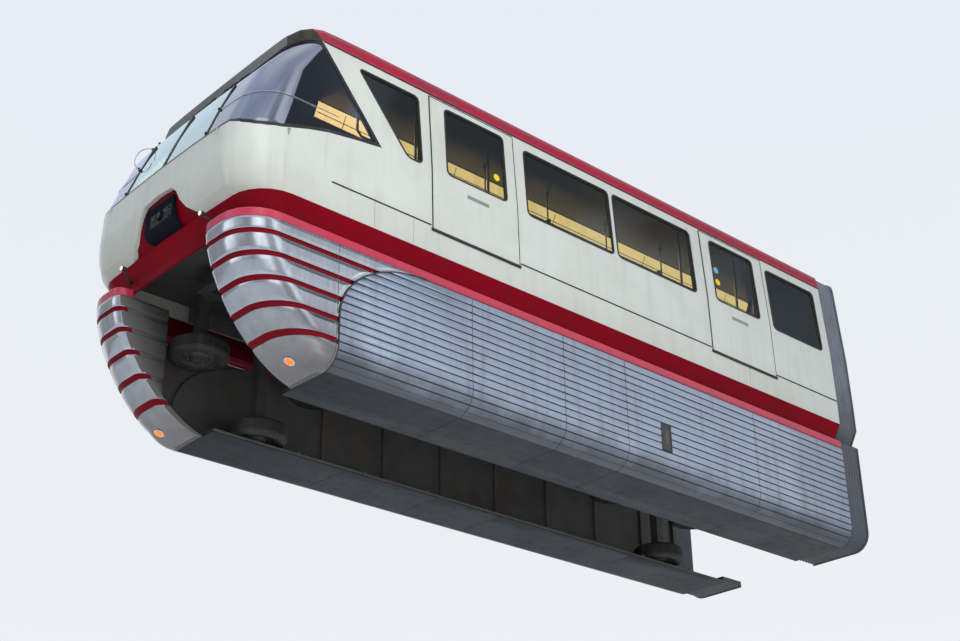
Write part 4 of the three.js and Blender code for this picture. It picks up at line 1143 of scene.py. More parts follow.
# Seats: cushions swell as cloth over a stiff base, and the same cushion serves a whole row
seating = {"voxel": 0.034, "pressure": 4.0, "frames": 20, "cap": 0.014, "across": 3, "width": 2.78,
           "gap": 0.02, "seatTop": 1.16, "backTop": 1.64, "backThick": 0.13, "seatDeep": 0.50,
           "cushion": 0.095, "backPad": 0.05, "half": 1.385, "legs": (-1.36, -0.56, 0.56, 1.36),
           "rows": {"front": (3.415, (-1,)), "middle_front": (0.785, (-1, 1)),
                    "middle_rear": (-1.135, (-1, 1)), "rear": (-3.815, (1,))}}


def bakedMesh(source):
    return bpy.data.meshes.new_from_object(source.evaluated_get(bpy.context.evaluated_depsgraph_get()))


# Padded block as points and faces around its middle; its underside stays flat
def puffed(size, voxel):
    size = Vector(size)
    bm = bmesh.new()
    addBox(bm, -size / 2, size / 2, bevel=min(size) * 0.3, segments=3)
    mesh = bpy.data.meshes.new("cushionStart")
    bm.to_mesh(mesh)
    bm.free()
    block = addObject("cushionStart", mesh)
    remesh = block.modifiers.new("voxels", "REMESH")
    remesh.mode, remesh.voxel_size = "VOXEL", voxel
    block.data = bakedMesh(block)
    block.modifiers.clear()
    points = start = [vert.co.copy() for vert in block.data.vertices]
    faces = [tuple(face.vertices) for face in block.data.polygons]
    held = block.vertex_groups.new(name="held")
    held.add([i for i, co in enumerate(start) if co.z < -size.z / 2 + voxel * 0.4], 1.0, "REPLACE")
    cloth = block.modifiers.new("cloth", "CLOTH").settings
    cloth.vertex_group_mass, cloth.use_pressure = "held", True
    cloth.uniform_pressure_force = seating["pressure"]
    cloth.effector_weights.gravity = 0
    for step in range(1, seating["frames"] + 1):
        bpy.context.scene.frame_set(step)
    shifts = [vert.co - before for vert, before in zip(bakedMesh(block).vertices, start)]
    bpy.context.scene.frame_set(1)
    points = [before + shift.normalized() * min(shift.length, seating["cap"])
              for before, shift in zip(start, shifts)]
    bpy.data.objects.remove(block)
    return points, faces


# Cushion set into a mesh, with a welt sewn round its side
def addCushion(bm, shape, spot, welt=0.0045):
    points, faces = shape
    verts = [bm.verts.new(spot @ place) for place in points]
    tint([bm.faces.new([verts[i] for i in face]) for face in faces], 0)
    low, high = min(p.z for p in points), max(p.z for p in points)
    level = low + (high - low) * 0.62
    ring = {}
    for place in points:
        if abs(place.z - level) < (high - low) * 0.2:
            turn = round(math.atan2(place.y, place.x) * 24 / math.pi)
            if turn not in ring or ring[turn].xy.length < place.xy.length:
                ring[turn] = place
    path = [spot @ Vector((ring[turn].x, ring[turn].y, level)) for turn in sorted(ring)]
    across = (spot.to_3x3() @ Vector((0, 0, 1))).normalized()
    rings = []
    for i, place in enumerate(path):
        out = (path[(i + 1) % len(path)] - path[i - 1]).normalized().cross(across)
        rings.append([place + out * a + across * b for a, b in circle(6, welt)])
    made = loft(bm, rings + rings[:1], caps=False, index=1)
    bmesh.ops.remove_doubles(bm, verts=list({v for f in made for v in f.verts}), dist=0.0001)


def finishCushions(name, bm, materials, stands):
    bmesh.ops.recalc_face_normals(bm, faces=bm.faces)
    piece = makePiece(name, bm, materials, slot="seat_vinyl", stands=stands, sharp=60.0)
    soft = piece.modifiers.new("softness", "SUBSURF")
    soft.levels = soft.render_levels = 1


seatWide = seating["width"] / seating["across"]
seatPlaces = [seatWide * (i + 0.5) - seating["width"] / 2 for i in range(seating["across"])]
cushionWide = seatWide - seating["gap"] - 2 * seating["cap"]
seatShape = puffed((seating["seatDeep"] - 0.05, cushionWide, seating["cushion"] - 0.015), seating["voxel"])
backShape = puffed((0.40, cushionWide, seating["backPad"]), seating["voxel"] * 0.8)

# The front and rear benches stand over the wheel wells, so between the sides they are thin and have no frame
well = {"half": 0.507, "top": 1.1225, "thin": 0.45, "narrow": 0.955, "outer": 0.946}


def seatSpot(middle, y, base, over):
    if over and not y:
        high = (seating["cushion"] - 0.015) / 2 * well["thin"]
        return Matrix.Translation((middle, y, well["top"] + high)) @ Matrix.Diagonal((1, 1, well["thin"], 1))
    spot = (middle, math.copysign(well["outer"], y) if over else y, base + seating["cushion"] / 2 - 0.01)
    return Matrix.Translation(spot) @ Matrix.Diagonal((1, well["narrow"] if over else 1, 1, 1))


for label, (x, ways) in seating["rows"].items():
    soft, frameMesh = bmesh.new(), bmesh.new()
    base, backTop = seating["seatTop"] - seating["cushion"], seating["backTop"]
    over = label in ("front", "rear")
    half = seating["half"]
    spans = [(-half, -well["half"]), (well["half"], half)] if over else [(-half, half)]
    for way in ways:
        for y in seatPlaces:
            middle = x + way * (seating["backThick"] / 2 + seating["seatDeep"] / 2 - 0.01)
            addCushion(soft, seatShape, seatSpot(middle, y, base, over))
            spot = Matrix.Translation((x + way * 0.042, y, seating["seatTop"] + 0.255))
            addCushion(soft, backShape, spot @ Matrix.Rotation(way * math.radians(90), 4, "Y"))
        face = x + way * (seating["backThick"] / 2 + seating["seatDeep"] - 0.012)
        for left, right in spans:
            near, far = sorted((x, face))
            addBox(frameMesh, (near, left, base - 0.05), (far, right, base - 0.012), bevel=0.008)
            addBox(frameMesh, (face - way * 0.03 - 0.006, left + 0.015, 0.74),
                   (face - way * 0.03 + 0.006, right - 0.015, base - 0.04), index=1, bevel=0.003)
        leg = face - way * 0.05
        for y in seating["legs"]:
            addBox(frameMesh, (leg - 0.02, y - 0.02, 0.662), (leg + 0.02, y + 0.02, base - 0.04), bevel=0.004)
    foot = well["top"] if over else base - 0.02
    addBox(frameMesh, (x - 0.014, -half, foot), (x + 0.014, half, backTop - 0.02), index=1, bevel=0.006)
    hoop = ((-1.33, base), (-1.33, 1.60), (-1.28, 1.632), (1.28, 1.632), (1.33, 1.60), (1.33, base))
    addBar(frameMesh, [(x, y, z) for y, z in hoop], 0.015, index=2)
    for y in (-0.46, 0.46):
        addBar(frameMesh, [(x - 0.05, y, 1.628), (x, y, 1.655), (x + 0.05, y, 1.628)], 0.011, index=2)
    finishCushions(f"seat_cushions_{label}", soft, "seatVinyl darkVinyl", stands=[f"bench_{label}"])
    makePiece(f"seat_frame_{label}", closedMesh(frameMesh), "frameSteel cabinLining brightMetal")
print("passenger seats done")

# Driver's seat: its pads with size, place and lean in degrees, and the column they stand on
driver = {"seat": ((0.36, 0.42, 0.085), (4.30, 0, 1.088), -4),
          "back": ((0.52, 0.42, 0.07), (4.065, 0, 1.43), 84),
          "voxel": 0.02, "column": 4.22, "floor": 0.661, "folds": 5}
soft = bmesh.new()
for size, spot, lean in (driver["seat"], driver["back"]):
    spot = Matrix.Translation(spot) @ Matrix.Rotation(math.radians(lean), 4, "Y")
    addCushion(soft, puffed(size, driver["voxel"]), spot)
finishCushions("driver_cushions", soft, "darkVinyl blackRubber", stands=["driver_seat"])


def buildDriverFrame():
    bm = bmesh.new()
    middle, floor = driver["column"], driver["floor"]
    addRod(bm, (middle, 0, floor), (middle, 0, 0.70), 0.17, segments=24)
    addRod(bm, (middle, 0, 0.69), (middle, 0, 1.02), 0.045, index=1, segments=20)
    for fold in range(driver["folds"]):
        addStud(bm, (middle, 0, 0.74 + 0.05 * fold), (0, 0, 1), 0, 0.03, 0.085 - 0.004 * fold, index=2,
                segments=20, endRadius=0.07)
    addBox(bm, (4.09, -0.21, 1.005), (4.46, 0.21, 1.035), bevel=0.01)
    for side in (-1, 1):
        for y, path, radius, index in (
                (0.16, ((4.10, 1.02), (4.035, 1.05), (4.015, 1.30), (3.995, 1.60)), 0.014, 1),
                (0.235, ((4.03, 1.20), (4.06, 1.27), (4.16, 1.285), (4.30, 1.285)), 0.017, 2)):
            addBar(bm, [(x, side * y, z) for x, z in path], radius, index=index)
    addBox(bm, (3.985, -0.20, 1.25), (4.0, 0.20, 1.66), bevel=0.006)
    return closedMesh(bm)


makePiece("driver_frame", buildDriverFrame(), "frameSteel brightMetal blackRubber", sharp=45.0)


# Driver's desk: dials without marks, lamps, a control lever and rows of switches
desk = {"foot": (4.68, 1.04), "slope": (0.20, 0.08), "half": 0.66, "dials": (-0.30, -0.10, 0.10, 0.30),
        "dial": 0.065, "lever": 0.51}


def buildDesk():
    bm = bmesh.new()
    (x, z), (long, rise), lever, dial = desk["foot"], desk["slope"], desk["lever"], desk["dial"]
    slope, up = Vector((long, 0, rise)), Vector((-rise, 0, long)).normalized()
    at = lambda share, y, out=0.0: Vector((x, y, z)) + slope * share + up * out
    for y in desk["dials"]:
        addStud(bm, at(0.55, y), up, -0.004, 0.012, dial, segments=24, endRadius=dial - 0.005)
        addStud(bm, at(0.55, y), up, 0.011, 0.013, dial - 0.013, index=1, segments=24)
        addBox(bm, at(0.50, y - 0.003, 0.0125), at(0.72, y + 0.003, 0.0175), index=3)
    for i in range(12):
        y = -0.60 + 0.04 * (i if i < 4 else i + 19)
        addStud(bm, at(0.35, y), up, -0.002, 0.010, 0.011, index=3 if i % 3 else 4, segments=12)
        addStud(bm, at(0.70, y), up, -0.002, 0.016, 0.006, index=2, segments=10, endRadius=0.004)
    addBox(bm, at(0.15, lever - 0.05, -0.002), at(0.75, lever + 0.05, 0.012), bevel=0.003)
    addBar(bm, [at(0.45, lever, 0.0), at(0.42, lever, 0.07), at(0.38, lever, 0.12)], 0.009, index=2)
    addRod(bm, at(0.38, lever, 0.11), at(0.36, lever, 0.15), 0.022, segments=16, endRadius=0.018)
    addBar(bm, [at(-0.02, -desk["half"], 0.01), at(-0.02, desk["half"], 0.01)], 0.012)
    addBox(bm, (4.73, -0.05, 0.662), (4.79, 0.10, 0.70), bevel=0.008)
    return closedMesh(bm)


makePiece("driver_desk", buildDesk(), "blackRubber labelGrey brightMetal dotYellow amberLens", sharp=45.0)


# Doorway rails at the rear end, step plates with ribs at the side doors, and heaters under the windows
cabin = {"rail": ((-4.30, 1.30), (-4.25, 1.34), (-4.25, 2.0), (-4.30, 2.04)), "railSide": 0.43,
         "plateRibs": 7, "heater": (-1.60, 1.28, 1.44, 1.478, 0.72, 0.86)}


def buildCabinDress():
    bm = bmesh.new()
    boxes = []
    for rear, front, _, _ in shell["doors"].values():
        boxes.append((rear + 0.06, front - 0.06, 1.30, 1.488, 0.661, 0.668, 1, 0.002))
        boxes += [(rear + 0.08, front - 0.08, y - 0.004, y + 0.004, 0.667, 0.671, 1, 0.001)
                  for y in [1.318 + 0.025 * i for i in range(cabin["plateRibs"])]]
    boxes.append((*cabin["heater"], 2, 0.01))
    for side in (-1, 1):
        addBar(bm, [(x, side * cabin["railSide"], z) for x, z in cabin["rail"]], 0.014)
        for x0, x1, y0, y1, z0, z1, index, bevel in boxes:
            low, high = sorted((side * y0, side * y1))
            addBox(bm, (x0, low, z0), (x1, high, z1), index, bevel)
    return closedMesh(bm)


makePiece("cabin_dress", buildCabinDress(), "brightMetal ribbedAluminium cabinLining", sharp=45.0)
smoothCopy("driver_console", "blackPaint", "dark_trim", bevel=0.012)
print("cab and cabin done")

# Bogies, in the frame of a bogie whose middle lies at x = 0
running = {"axle": 0.50, "guideY": 0.79, "beam": 0.56, "places": {"front": (3.25, -1), "rear": (-3.25, 1)},
           "guides": {"upper_front": (0.80, -0.35), "upper_rear": (-0.80, -0.35), "lower": (0.0, -1.10)}}

# Wheels as half sections of radius and height, with the grooves of the tread between tread and inner side.
# A groove has the radius of its floor and half its width above and below. Bolts: how many, radius and
# shift of their circle, foot, head, size.
guideWheel = {
    "steps": 56, "rim": 0.216, "tread": 0.333, "grooves": (0.040, 0.0132), "groove": (0.325, 0.004, 0.0028),
    "outer": [(0.0466, 0.080), (0.090, 0.080), (0.094, 0.066), (0.110, 0.052), (0.178, 0.046), (0.196, 0.058),
              (0.202, 0.078), (0.214, 0.082), (0.222, 0.084), (0.232, 0.090), (0.250, 0.097), (0.272, 0.1005),
              (0.292, 0.0985), (0.312, 0.088), (0.324, 0.075), (0.331, 0.064), (0.333, 0.056)],
    "inner": [],
    "bolts": [(8, 0.145, 0.5, 0.040, 0.060, 0.012), (6, 0.072, 0.0, 0.074, 0.0798, 0.007)],
}
loadWheel = {
    "steps": 72, "rim": 0.268, "tread": 0.500, "grooves": (0.290, 0.245, 0.200, 0.155),
    "groove": (0.488, 0.007, 0.005),
    "outer": [(0.055, 0.600), (0.055, 0.402), (0.120, 0.400), (0.124, 0.385), (0.160, 0.380), (0.175, 0.345),
              (0.235, 0.335), (0.248, 0.368), (0.262, 0.374), (0.275, 0.368), (0.300, 0.376), (0.350, 0.384),
              (0.400, 0.386), (0.440, 0.378), (0.470, 0.360), (0.490, 0.342), (0.500, 0.325)],
    "inner": [(0.500, 0.121), (0.490, 0.104), (0.470, 0.086), (0.440, 0.068), (0.400, 0.060), (0.300, 0.072),
              (0.262, 0.072), (0.160, 0.068)],
    "bolts": [(10, 0.205, 0.0, 0.330, 0.362, 0.015), (6, 0.095, 0.5, 0.395, 0.408, 0.010)],
    "lugs": 36,
}


# Ring turned from the half section and its mirror image, with bolts; the tyre lies outside the rim's radius
def buildWheel(wheel, axis):
    bm = bmesh.new()
    tread, (floor, wide, narrow) = wheel["tread"], wheel["groove"]
    rows = wheel["outer"] + [(r, level + shift) for level in wheel["grooves"] for r, shift in (
        (tread, wide), (floor, narrow), (floor, -narrow), (tread, -wide))] + wheel["inner"]
    verts = [bm.verts.new((r, 0, h)) for r, h in rows + [(r, -h) for r, h in reversed(rows)]]
    edges = [bm.edges.new((verts[i - 1], verts[i])) for i in range(len(verts))]
    bmesh.ops.spin(bm, geom=verts + edges, axis=(0, 0, 1), cent=(0, 0, 0), angle=2 * math.pi,
                   steps=wheel["steps"], use_merge=True)
    upright = axis == "Y"
    if upright:
        turn = Matrix.Rotation(math.radians(-90), 3, "X")
        bmesh.ops.rotate(bm, verts=bm.verts, cent=(0, 0, 0), matrix=turn)
    bmesh.ops.recalc_face_normals(bm, faces=bm.faces)
    across = 2 if upright else 1
    tintBy(bm, lambda centre, normal: 0 if math.hypot(centre.x, centre[across]) > wheel["rim"] else 1)
    for side in (-1, 1):
        out = (0, side, 0) if upright else (0, 0, side)
        for count, radius, shift, foot, head, size in wheel["bolts"]:
            for a, b in circle(count, radius, shift):
                addStud(bm, (a, 0, b) if upright else (a, b, 0), out, foot, head, size, index=2, segments=6)
    return bm


# Adds lugs at both edges of the two treads, and caps on the axle's ends
def buildLoadWheels():
    bm = buildWheel(loadWheel, "Y")
    for side in (-1, 1):
        for i in range(loadWheel["lugs"]):
            turn = Matrix.Rotation(2 * math.pi * (i + 0.5) / loadWheel["lugs"], 4, "Y")
            for near, far in ((0.297, 0.336), (0.102, 0.148)):
                low, high = sorted((side * near, side * far))
                verts = addBox(bm, (-0.003, low, 0.492), (0.003, high, 0.5035), index=3)
                bmesh.ops.transform(bm, matrix=turn, verts=verts)
        addRod(bm, (0, side * 0.600, 0), (0, side * 0.594, 0), 0.030, index=2, segments=16)
    return bm


# Copy of a wheel at its place, which stands for the CAD wheel
def placeWheel(source, spot, node, name, materials):
    made = source.copy()
    bmesh.ops.translate(made, vec=spot, verts=made.verts)
    makePiece(name, made, materials, body=bodyOf[node], slot="tyre_rubber", stands=[node], sharp=32.0)


guideMesh, loadMesh = buildWheel(guideWheel, "Z"), buildLoadWheels()
for place, (x, _) in running["places"].items():
    placeWheel(loadMesh, (x, 0, running["axle"]), f"load_wheels_{place}", f"twin_tyres_{place}",
               "tyreRubber frameSteel brightMetal blackRubber")
    for side, sign in sides.items():
        for name, (along, z) in running["guides"].items():
            spot, label = (x + along, sign * running["guideY"], z), f"{place}_{name}_{side}"
            placeWheel(guideMesh, spot, f"guide_wheel_{label}", f"guide_tyre_{label}",
                       "tyreRubber frameSteel brightMetal")
guideMesh.free()
loadMesh.free()
print("wheels done")


# Spring folds, bearing bolts, beam ribs, pipes and post folds on a bogie frame
bogieDress = {"springs": (-0.33, 0.33), "springFoot": 0.452, "folds": 3, "bearing": 0.088, "postFolds": 4,
              "ribs": (-0.62, -0.20, 0.20, 0.62), "ends": (-0.94, 0.94),
              "endRibs": (-0.38, -0.13, 0.13, 0.38),
              "pipe": ((-0.97, 0.012, 0.33), (-0.5, 0.030, 0.30), (0.5, 0.030, 0.30), (0.97, 0.012, 0.33))}


def buildBogieDress(x):
    bm = bmesh.new()
    for side in (-1, 1):
        beam = side * running["beam"]
        outer = beam + side * 0.06
        for along in bogieDress["springs"]:
            for z in [bogieDress["springFoot"] + 0.034 * fold for fold in range(bogieDress["folds"])]:
                for foot, wide, top in ((0, 0.106, 0.117), (0.014, 0.117, 0.106)):
                    addStud(bm, (x + along, beam, z), (0, 0, 1), foot, foot + 0.014, wide, index=1,
                            segments=28, endRadius=top)
        for a, b in circle(8, bogieDress["bearing"]):
            if running["axle"] + b < 0.54:
                addStud(bm, (x + a, outer, running["axle"] + b), (0, side, 0), -0.004, 0.010, 0.009, index=2,
                        segments=6)
        low, high = sorted((outer, outer + side * 0.022))
        for along in bogieDress["ribs"]:
            addBox(bm, (x + along - 0.006, low, 0.262), (x + along + 0.006, high, 0.42), bevel=0.002)
        pipe = [(x + along, outer + side * out, z) for along, out, z in bogieDress["pipe"]]
        addBar(bm, pipe, 0.009, index=2)
        hub = side * running["guideY"]
        for along, height in running["guides"].values():
            middle = x + along
            for fold in range(bogieDress["postFolds"]):
                level = 0.22 - (0.1395 - height) * (fold + 0.6) / 4.2
                addBox(bm, (middle - 0.064, hub - 0.064, level - 0.004),
                       (middle + 0.064, hub + 0.064, level + 0.004), bevel=0.002)
            for a, b in circle(6, 0.056):
                addStud(bm, (middle + a, hub + b, height - 0.1105), (0, 0, -1), -0.002, 0.010, 0.006, index=2,
                        segments=6)
    for along in bogieDress["ends"]:
        for y in bogieDress["endRibs"]:
            addBox(bm, (x + along - 0.07, y - 0.005, 0.25), (x + along + 0.07, y + 0.005, 0.43), bevel=0.002)
    return closedMesh(bm)


# Traction motor: round-edged housing with cooling fins, end bells, terminal box and shaft cover
motor = {"ends": (1.001, 1.52), "half": 0.25, "foot": 0.185, "top": 0.455, "fins": 15, "finStep": 0.0336}


def buildMotor(x, way):
    bm = bmesh.new()
    near, far = sorted(x + way * end for end in motor["ends"])
    middle, half = (near + far) / 2, motor["half"]
    addBox(bm, (near + 0.03, -half, motor["foot"]), (far - 0.02, half, motor["top"]), bevel=0.03, segments=3)
    for y in [motor["finStep"] * i - 0.235 for i in range(motor["fins"])]:
        addBox(bm, (near + 0.06, y - 0.004, 0.170), (far - 0.06, y + 0.004, 0.470), bevel=0.001)
    for y in (-0.29, 0.262):
        addBox(bm, (near + 0.02, y, 0.175), (far - 0.02, y + 0.028, 0.465), bevel=0.010)
        face = y if y < 0 else y + 0.028
        for a in (near + 0.05, middle, far - 0.05):
            for z in (0.20, 0.44):
                addStud(bm, (a, face, z), (0, 1, 0), -0.004, 0.004, 0.012, index=1, segments=6)
    addBox(bm, (near, -0.09, 0.23), (near + 0.035, 0.09, 0.41), bevel=0.008)
    addBox(bm, (middle - 0.11, -0.11, 0.44), (middle + 0.11, 0.11, 0.4695), index=2, bevel=0.004)
    for y in (-0.07, 0.07):
        addRod(bm, (far - 0.03, y, 0.36), (far - 0.001, y, 0.36), 0.028, index=2, segments=16)
    return closedMesh(bm)


for place, (x, way) in running["places"].items():
    makePiece(f"bogie_dress_{place}", buildBogieDress(x), "frameSteel blackRubber brightMetal",
              body=f"bogie_{place}", slot="bogie_steel", sharp=40.0)
    node = f"traction_motor_{place}"
    makePiece(f"motor_housing_{place}", buildMotor(x, way), "motorGrey brightMetal blackPaint",
              body=bodyOf[node], slot="bogie_steel", stands=[node], sharp=40.0)
    smoothCopy(f"bogie_frame_{place}", "frameSteel", "bogie_steel", bevel=0.004)
print("bogies done")

# Nose: rows of height, foremost point and corner radius, and how far the front bulges in the middle
nose = {
    "rows": [(0.37, 5.000, 0.43), (0.45, 5.090, 0.44), (0.60, 5.140, 0.45), (0.80, 5.160, 0.45),
             (1.15, 5.150, 0.45), (1.55, 5.000, 0.42), (1.94, 4.840, 0.38), (2.25, 4.595, 0.33),
             (2.44, 4.430, 0.30)],
    "bulge": 0.024,
}


# Point on the nose's surface at a height, by distance from the centre plane along the outline
def nosePoint(z, way, out=0.0):
    front, corner = [readAlong([(row[0], row[column]) for row in nose["rows"]], z) + out for column in (1, 2)]
    side = sideAt(z) + out
    flat = side - corner
    if way <= flat:
        return Vector((front - nose["bulge"] * (way / flat) ** 2, way, z))
    shoulder = front - nose["bulge"] - corner
    turn = (way - flat) / corner
    if turn <= math.pi / 2:
        return Vector((shoulder + corner * math.cos(turn), flat + corner * math.sin(turn), z))
    return Vector((shoulder - (way - flat - corner * math.pi / 2), side, z))


def noseOut(z, way):
    across = nosePoint(z, way + 0.02) - nosePoint(z, max(way - 0.02, 0.0))
    upward = nosePoint(z + 0.02, way) - nosePoint(z - 0.02, way)
    return across.cross(upward).normalized()


# Joint between the upper and lower curved pane, clips on the posts, latches at the glass's foot.
# Places on the nose are heights with the distance from the centre plane along the outline.
glassFittings = {"joint": (1.55, 0.83), "clips": ((1.22, 0.784), (1.58, 0.784), (2.02, 0.784)),
                 "latches": ((1.090, 1.86), (1.135, 1.04))}


def buildGlassFittings():
    bm = bmesh.new()
    height, start = glassFittings["joint"]
    rows = [(height - 0.02 * math.sin(min(0.05 * i, 0.6) * 2.6), start + 0.05 * i) for i in range(31)]
    path, outs = [nosePoint(*row) for row in rows], [noseOut(*row) for row in rows]
    addStrip(bm, path, outs, 0.007, 0.001, index=1, sink=0.006)
    for spot in glassFittings["clips"]:
        base, out = nosePoint(*spot), noseOut(*spot)
        addStud(bm, base, out, -0.006, 0.014, 0.020, segments=16, endRadius=0.014)
        addStud(bm, base, out, 0.013, 0.019, 0.008, index=1, segments=10)
    for spot in glassFittings["latches"]:
        base, out = nosePoint(*spot), noseOut(*spot)
        addStud(bm, base, out, -0.004, 0.016, 0.016, index=1, segments=14)
        addStud(bm, base + out * 0.012, (0, 0, -1), 0, 0.05, 0.007, index=1, segments=8)
    return closedMesh(bm)


makePair("glass_fittings", buildGlassFittings, "blackRubber brightMetal", sharp=45.0)


# Wiper parked along the top of the windscreen
wiper = {"foot": (2.37, 0.11), "blade": 2.305, "spine": 2.312}


def buildWiper():
    bm = bmesh.new()
    high, start = wiper["foot"]
    foot, out = nosePoint(high, start), noseOut(high, start)
    addStud(bm, foot, out, -0.005, 0.035, 0.026, segments=20, endRadius=0.020)
    arm = [foot + out * 0.030]
    arm += [nosePoint(high - 0.008 * i, start + 0.07 * i, 0.030 - 0.002 * i) for i in range(1, 7)]
    blade = [nosePoint(wiper["blade"], 0.10 + 0.05 * i, 0.014) for i in range(12)]
    spine = [nosePoint(wiper["spine"], 0.12 + 0.046 * i, 0.019 + 0.006 * math.sin(math.pi * i / 11))
             for i in range(12)]
    for path, radius, segments in ((arm, 0.0075, 8), (blade, 0.0065, 8), (spine, 0.0045, 6)):
        addBar(bm, path, radius, segments=segments)
    return closedMesh(bm)


makePair("wiper", buildWiper, "blackRubber", sharp=45.0)


# Wire loop that stands above the right-hand curved pane, on two feet
wireLoop = {"middle": (1.82, 0.88), "radius": 0.16, "proud": 0.105, "feet": (1.66, 1.98)}


def buildLoop():
    bm = bmesh.new()
    high, way = wireLoop["middle"]
    toRight = lambda v: Vector((v.x, -v.y, v.z))
    turns = [math.pi * i / 16 for i in range(17)]
    radius, proud = wireLoop["radius"], wireLoop["proud"]
    path = [nosePoint(high - radius * math.cos(turn), way, 0.003 + proud * math.sin(turn)) for turn in turns]
    addBar(bm, [toRight(place) for place in path], 0.006, segments=8)
    for z in wireLoop["feet"]:
        base, out = toRight(nosePoint(z, way)), toRight(noseOut(z, way))
        addStud(bm, base, out, -0.006, 0.014, 0.018, index=1, segments=14, endRadius=0.012)
    return closedMesh(bm)


makePiece("wire_loop", buildLoop(), "brightMetal blackRubber", sharp=45.0)


# Small lamp on a rod beside the arch
sideLamp = {"place": (5.072, 0.755, 0.300), "foot": ((4.97, 0.80, 0.235), (4.93, 0.84, 0.222))}


def buildSideLamp():
    bm = bmesh.new()
    lamp, ahead = Vector(sideLamp["place"]), (1, 0, 0)
    addStud(bm, lamp, ahead, -0.03, 0.018, 0.028, segments=20, endRadius=0.032)
    addStud(bm, lamp, ahead, 0.014, 0.026, 0.029, index=1, segments=20, endRadius=0.021)
    addBar(bm, [lamp + Vector((-0.02, 0.0, -0.015)), lamp + Vector((-0.05, 0.02, -0.035)),
                *sideLamp["foot"]], 0.010)
    addRod(bm, (4.955, 0.815, 0.232), (4.915, 0.855, 0.215), 0.018, segments=12)
    return closedMesh(bm)


makePair("side_lamp", buildSideLamp, "blackRubber clearLens", sharp=45.0)


# Coupler housing: a rounded block with a socket in its face, a boss, two pins and bolts at its sides
coupler = {"half": 0.275, "socket": 0.075, "deep": 0.03, "height": 0.60, "bolts": (0.50, 0.60, 0.70),
           "section": ((5.080, 0.397), (5.135, 0.447), (5.135, 0.739), (5.104, 0.7395), (5.0875, 0.5995),
                       (5.037, 0.4495), (4.976, 0.3945))}


def buildCoupler():
    bm = bmesh.new()
    half, middle = coupler["half"], coupler["height"]
    drawnOut(bm, [(x, -half, z) for x, z in coupler["section"]], (0, 2 * half, 0))
    bmesh.ops.recalc_face_normals(bm, faces=bm.faces)
    roundEdges(bm, [edge for edge in bm.edges if all(v.co.x > 5.06 for v in edge.verts)], 0.022, 4)
    front = max((f for f in bm.faces if f.normal.x > 0.99), key=lambda f: f.calc_area())
    bmesh.ops.inset_individual(bm, faces=[front], thickness=coupler["socket"])
    bmesh.ops.translate(bm, vec=(-coupler["deep"], 0, 0), verts=front.verts)
    front.material_index = 1
    rods = [(y, z, 5.128, 5.142, 0.010, 0, 6, 0.010) for y in (-0.215, 0.215) for z in coupler["bolts"]]
    rods += [(0, middle, 5.095, 5.132, 0.060, 0, 28, 0.052), (0, middle, 5.122, 5.1325, 0.034, 1, 20, 0.034)]
    rods += [(y, middle, 5.10, 5.125, 0.022, 2, 16, 0.018) for y in (-0.12, 0.12)]
    for y, z, rear, ahead, radius, index, segments, endRadius in rods:
        addRod(bm, (rear, y, z), (ahead, y, z), radius, index, segments, endRadius)
    return bm


makePiece("coupler_block", buildCoupler(), "navyPaint blackRubber frameSteel",
          stands=["coupler_housing"], sharp=35.0)

# Roof: seams, hatches, vents and rain strips
roofParts = {"hatches": (1.9, -2.2), "vents": (3.05, 0.6, -0.6, -3.4), "aerial": 3.78,
             "seams": (3.4, 2.2, 1.0, -0.2, -1.4, -2.6, -3.8)}


def roofTopAt(y):
    return readAlong(roofArch(1.478, shell["crown"], 0.0, 48), y)


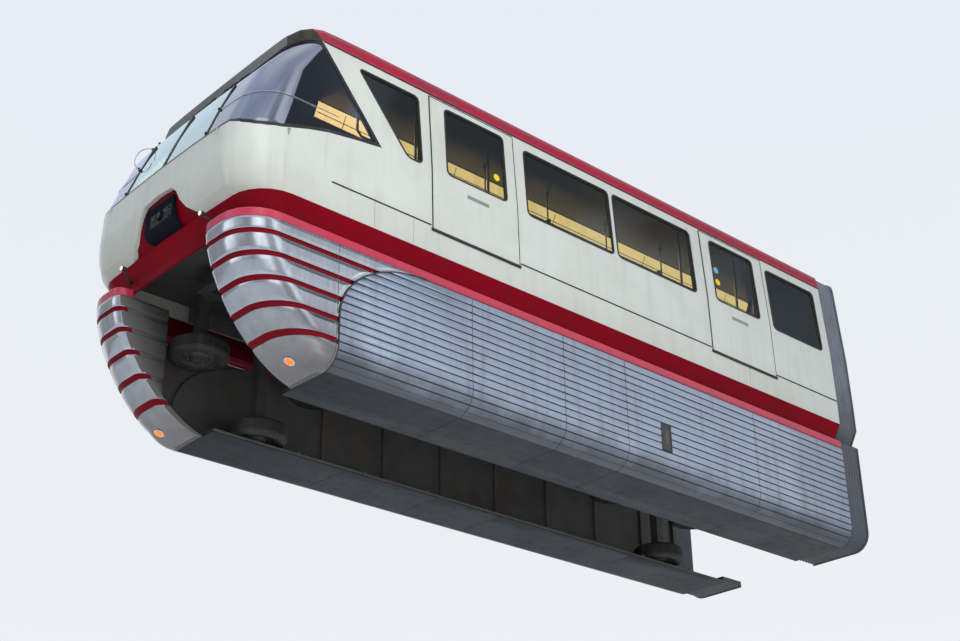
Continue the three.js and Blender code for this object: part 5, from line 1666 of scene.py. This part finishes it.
def buildRoofDress():
    bm = bmesh.new()
    places = [(-1.30 + 2.6 * i / 26) for i in range(27)]
    outs = [(0, roofTopAt(y - 0.05) - roofTopAt(y + 0.05), 0.1) for y in places]
    for x in roofParts["seams"]:
        addStrip(bm, [(x, y, roofTopAt(y)) for y in places], outs, 0.035, 0.006, sink=0.012)
    for x in roofParts["hatches"]:
        addBox(bm, (x - 0.42, -0.36, 2.82), (x + 0.42, 0.36, 2.895), bevel=0.02, segments=3)
        addBox(bm, (x - 0.36, -0.30, 2.89), (x + 0.36, 0.30, 2.903), bevel=0.006)
        for y in (-0.37, 0.37):
            for hinge in (x - 0.28, x + 0.28):
                addBox(bm, (hinge - 0.035, y - 0.015, 2.83), (hinge + 0.035, y + 0.015, 2.875), index=1,
                       bevel=0.004)
    for x in roofParts["vents"]:
        addRod(bm, (x, 0, 2.84), (x, 0, 2.885), 0.14, segments=32, endRadius=0.13)
        addRod(bm, (x, 0, 2.885), (x, 0, 2.915), 0.165, segments=32, endRadius=0.12)
        for a, b in circle(12, 0.15):
            addRod(bm, (x + a, b, 2.878), (x + a, b, 2.889), 0.007, index=1, segments=6)
    x = roofParts["aerial"]
    addRod(bm, (x, 0, 2.82), (x, 0, 2.87), 0.045, index=1, segments=20, endRadius=0.03)
    addRod(bm, (x, 0, 2.86), (x - 0.04, 0, 2.945), 0.006, index=1, segments=8)
    return closedMesh(bm)


makePiece("roof_dress", buildRoofDress(), "creamPaint blackRubber", slot="cream_paint", sharp=40.0)


# Rain strips along the roof, and fixings along the skirt and the ledge
fixings = {"strip": 1.30, "rivets": 75, "firstRivet": 4.02, "rivetStep": 0.112, "joints": (3.0, 3.52, -2.52)}


def buildSideFixings():
    bm = bmesh.new()
    y, z, outward = fixings["strip"], roofTopAt(fixings["strip"]), (0, 1, 0)
    path = [(3.9, y, z - 0.012), (3.6, y, z), (shell["rear"] + 0.02, y, z)]
    addStrip(bm, path, (0, 0.35, 1), 0.02, 0.018, sink=0.01)
    for x in [fixings["firstRivet"] - fixings["rivetStep"] * i for i in range(fixings["rivets"])]:
        if all(abs(x - seam) > 0.03 for seam in skirt["seams"]):
            addRod(bm, (x, 1.5437, 0.052), (x, 1.5475, 0.052), 0.0045, index=1, segments=6)
    for x in [seam + side for seam in skirt["seams"] for side in (-0.022, 0.022)]:
        for rib in range(11):
            base = (x, *skirtPoint(0.045 + skirt["pitch"] * (rib + 0.5), skirt["depth"]))
            addStud(bm, base, outward, -0.004, 0.0015, 0.0055, index=1, segments=6)
    for x in fixings["joints"]:
        addStrip(bm, [(x, 1.56, 0.40), (x, 1.56, 0.69)], outward, 0.003, 0.0006, index=1)
    return closedMesh(bm)


makePair("side_fixings", buildSideFixings, "cantRedPaint ribShade", sharp=45.0)
print("nose and roof fittings done")
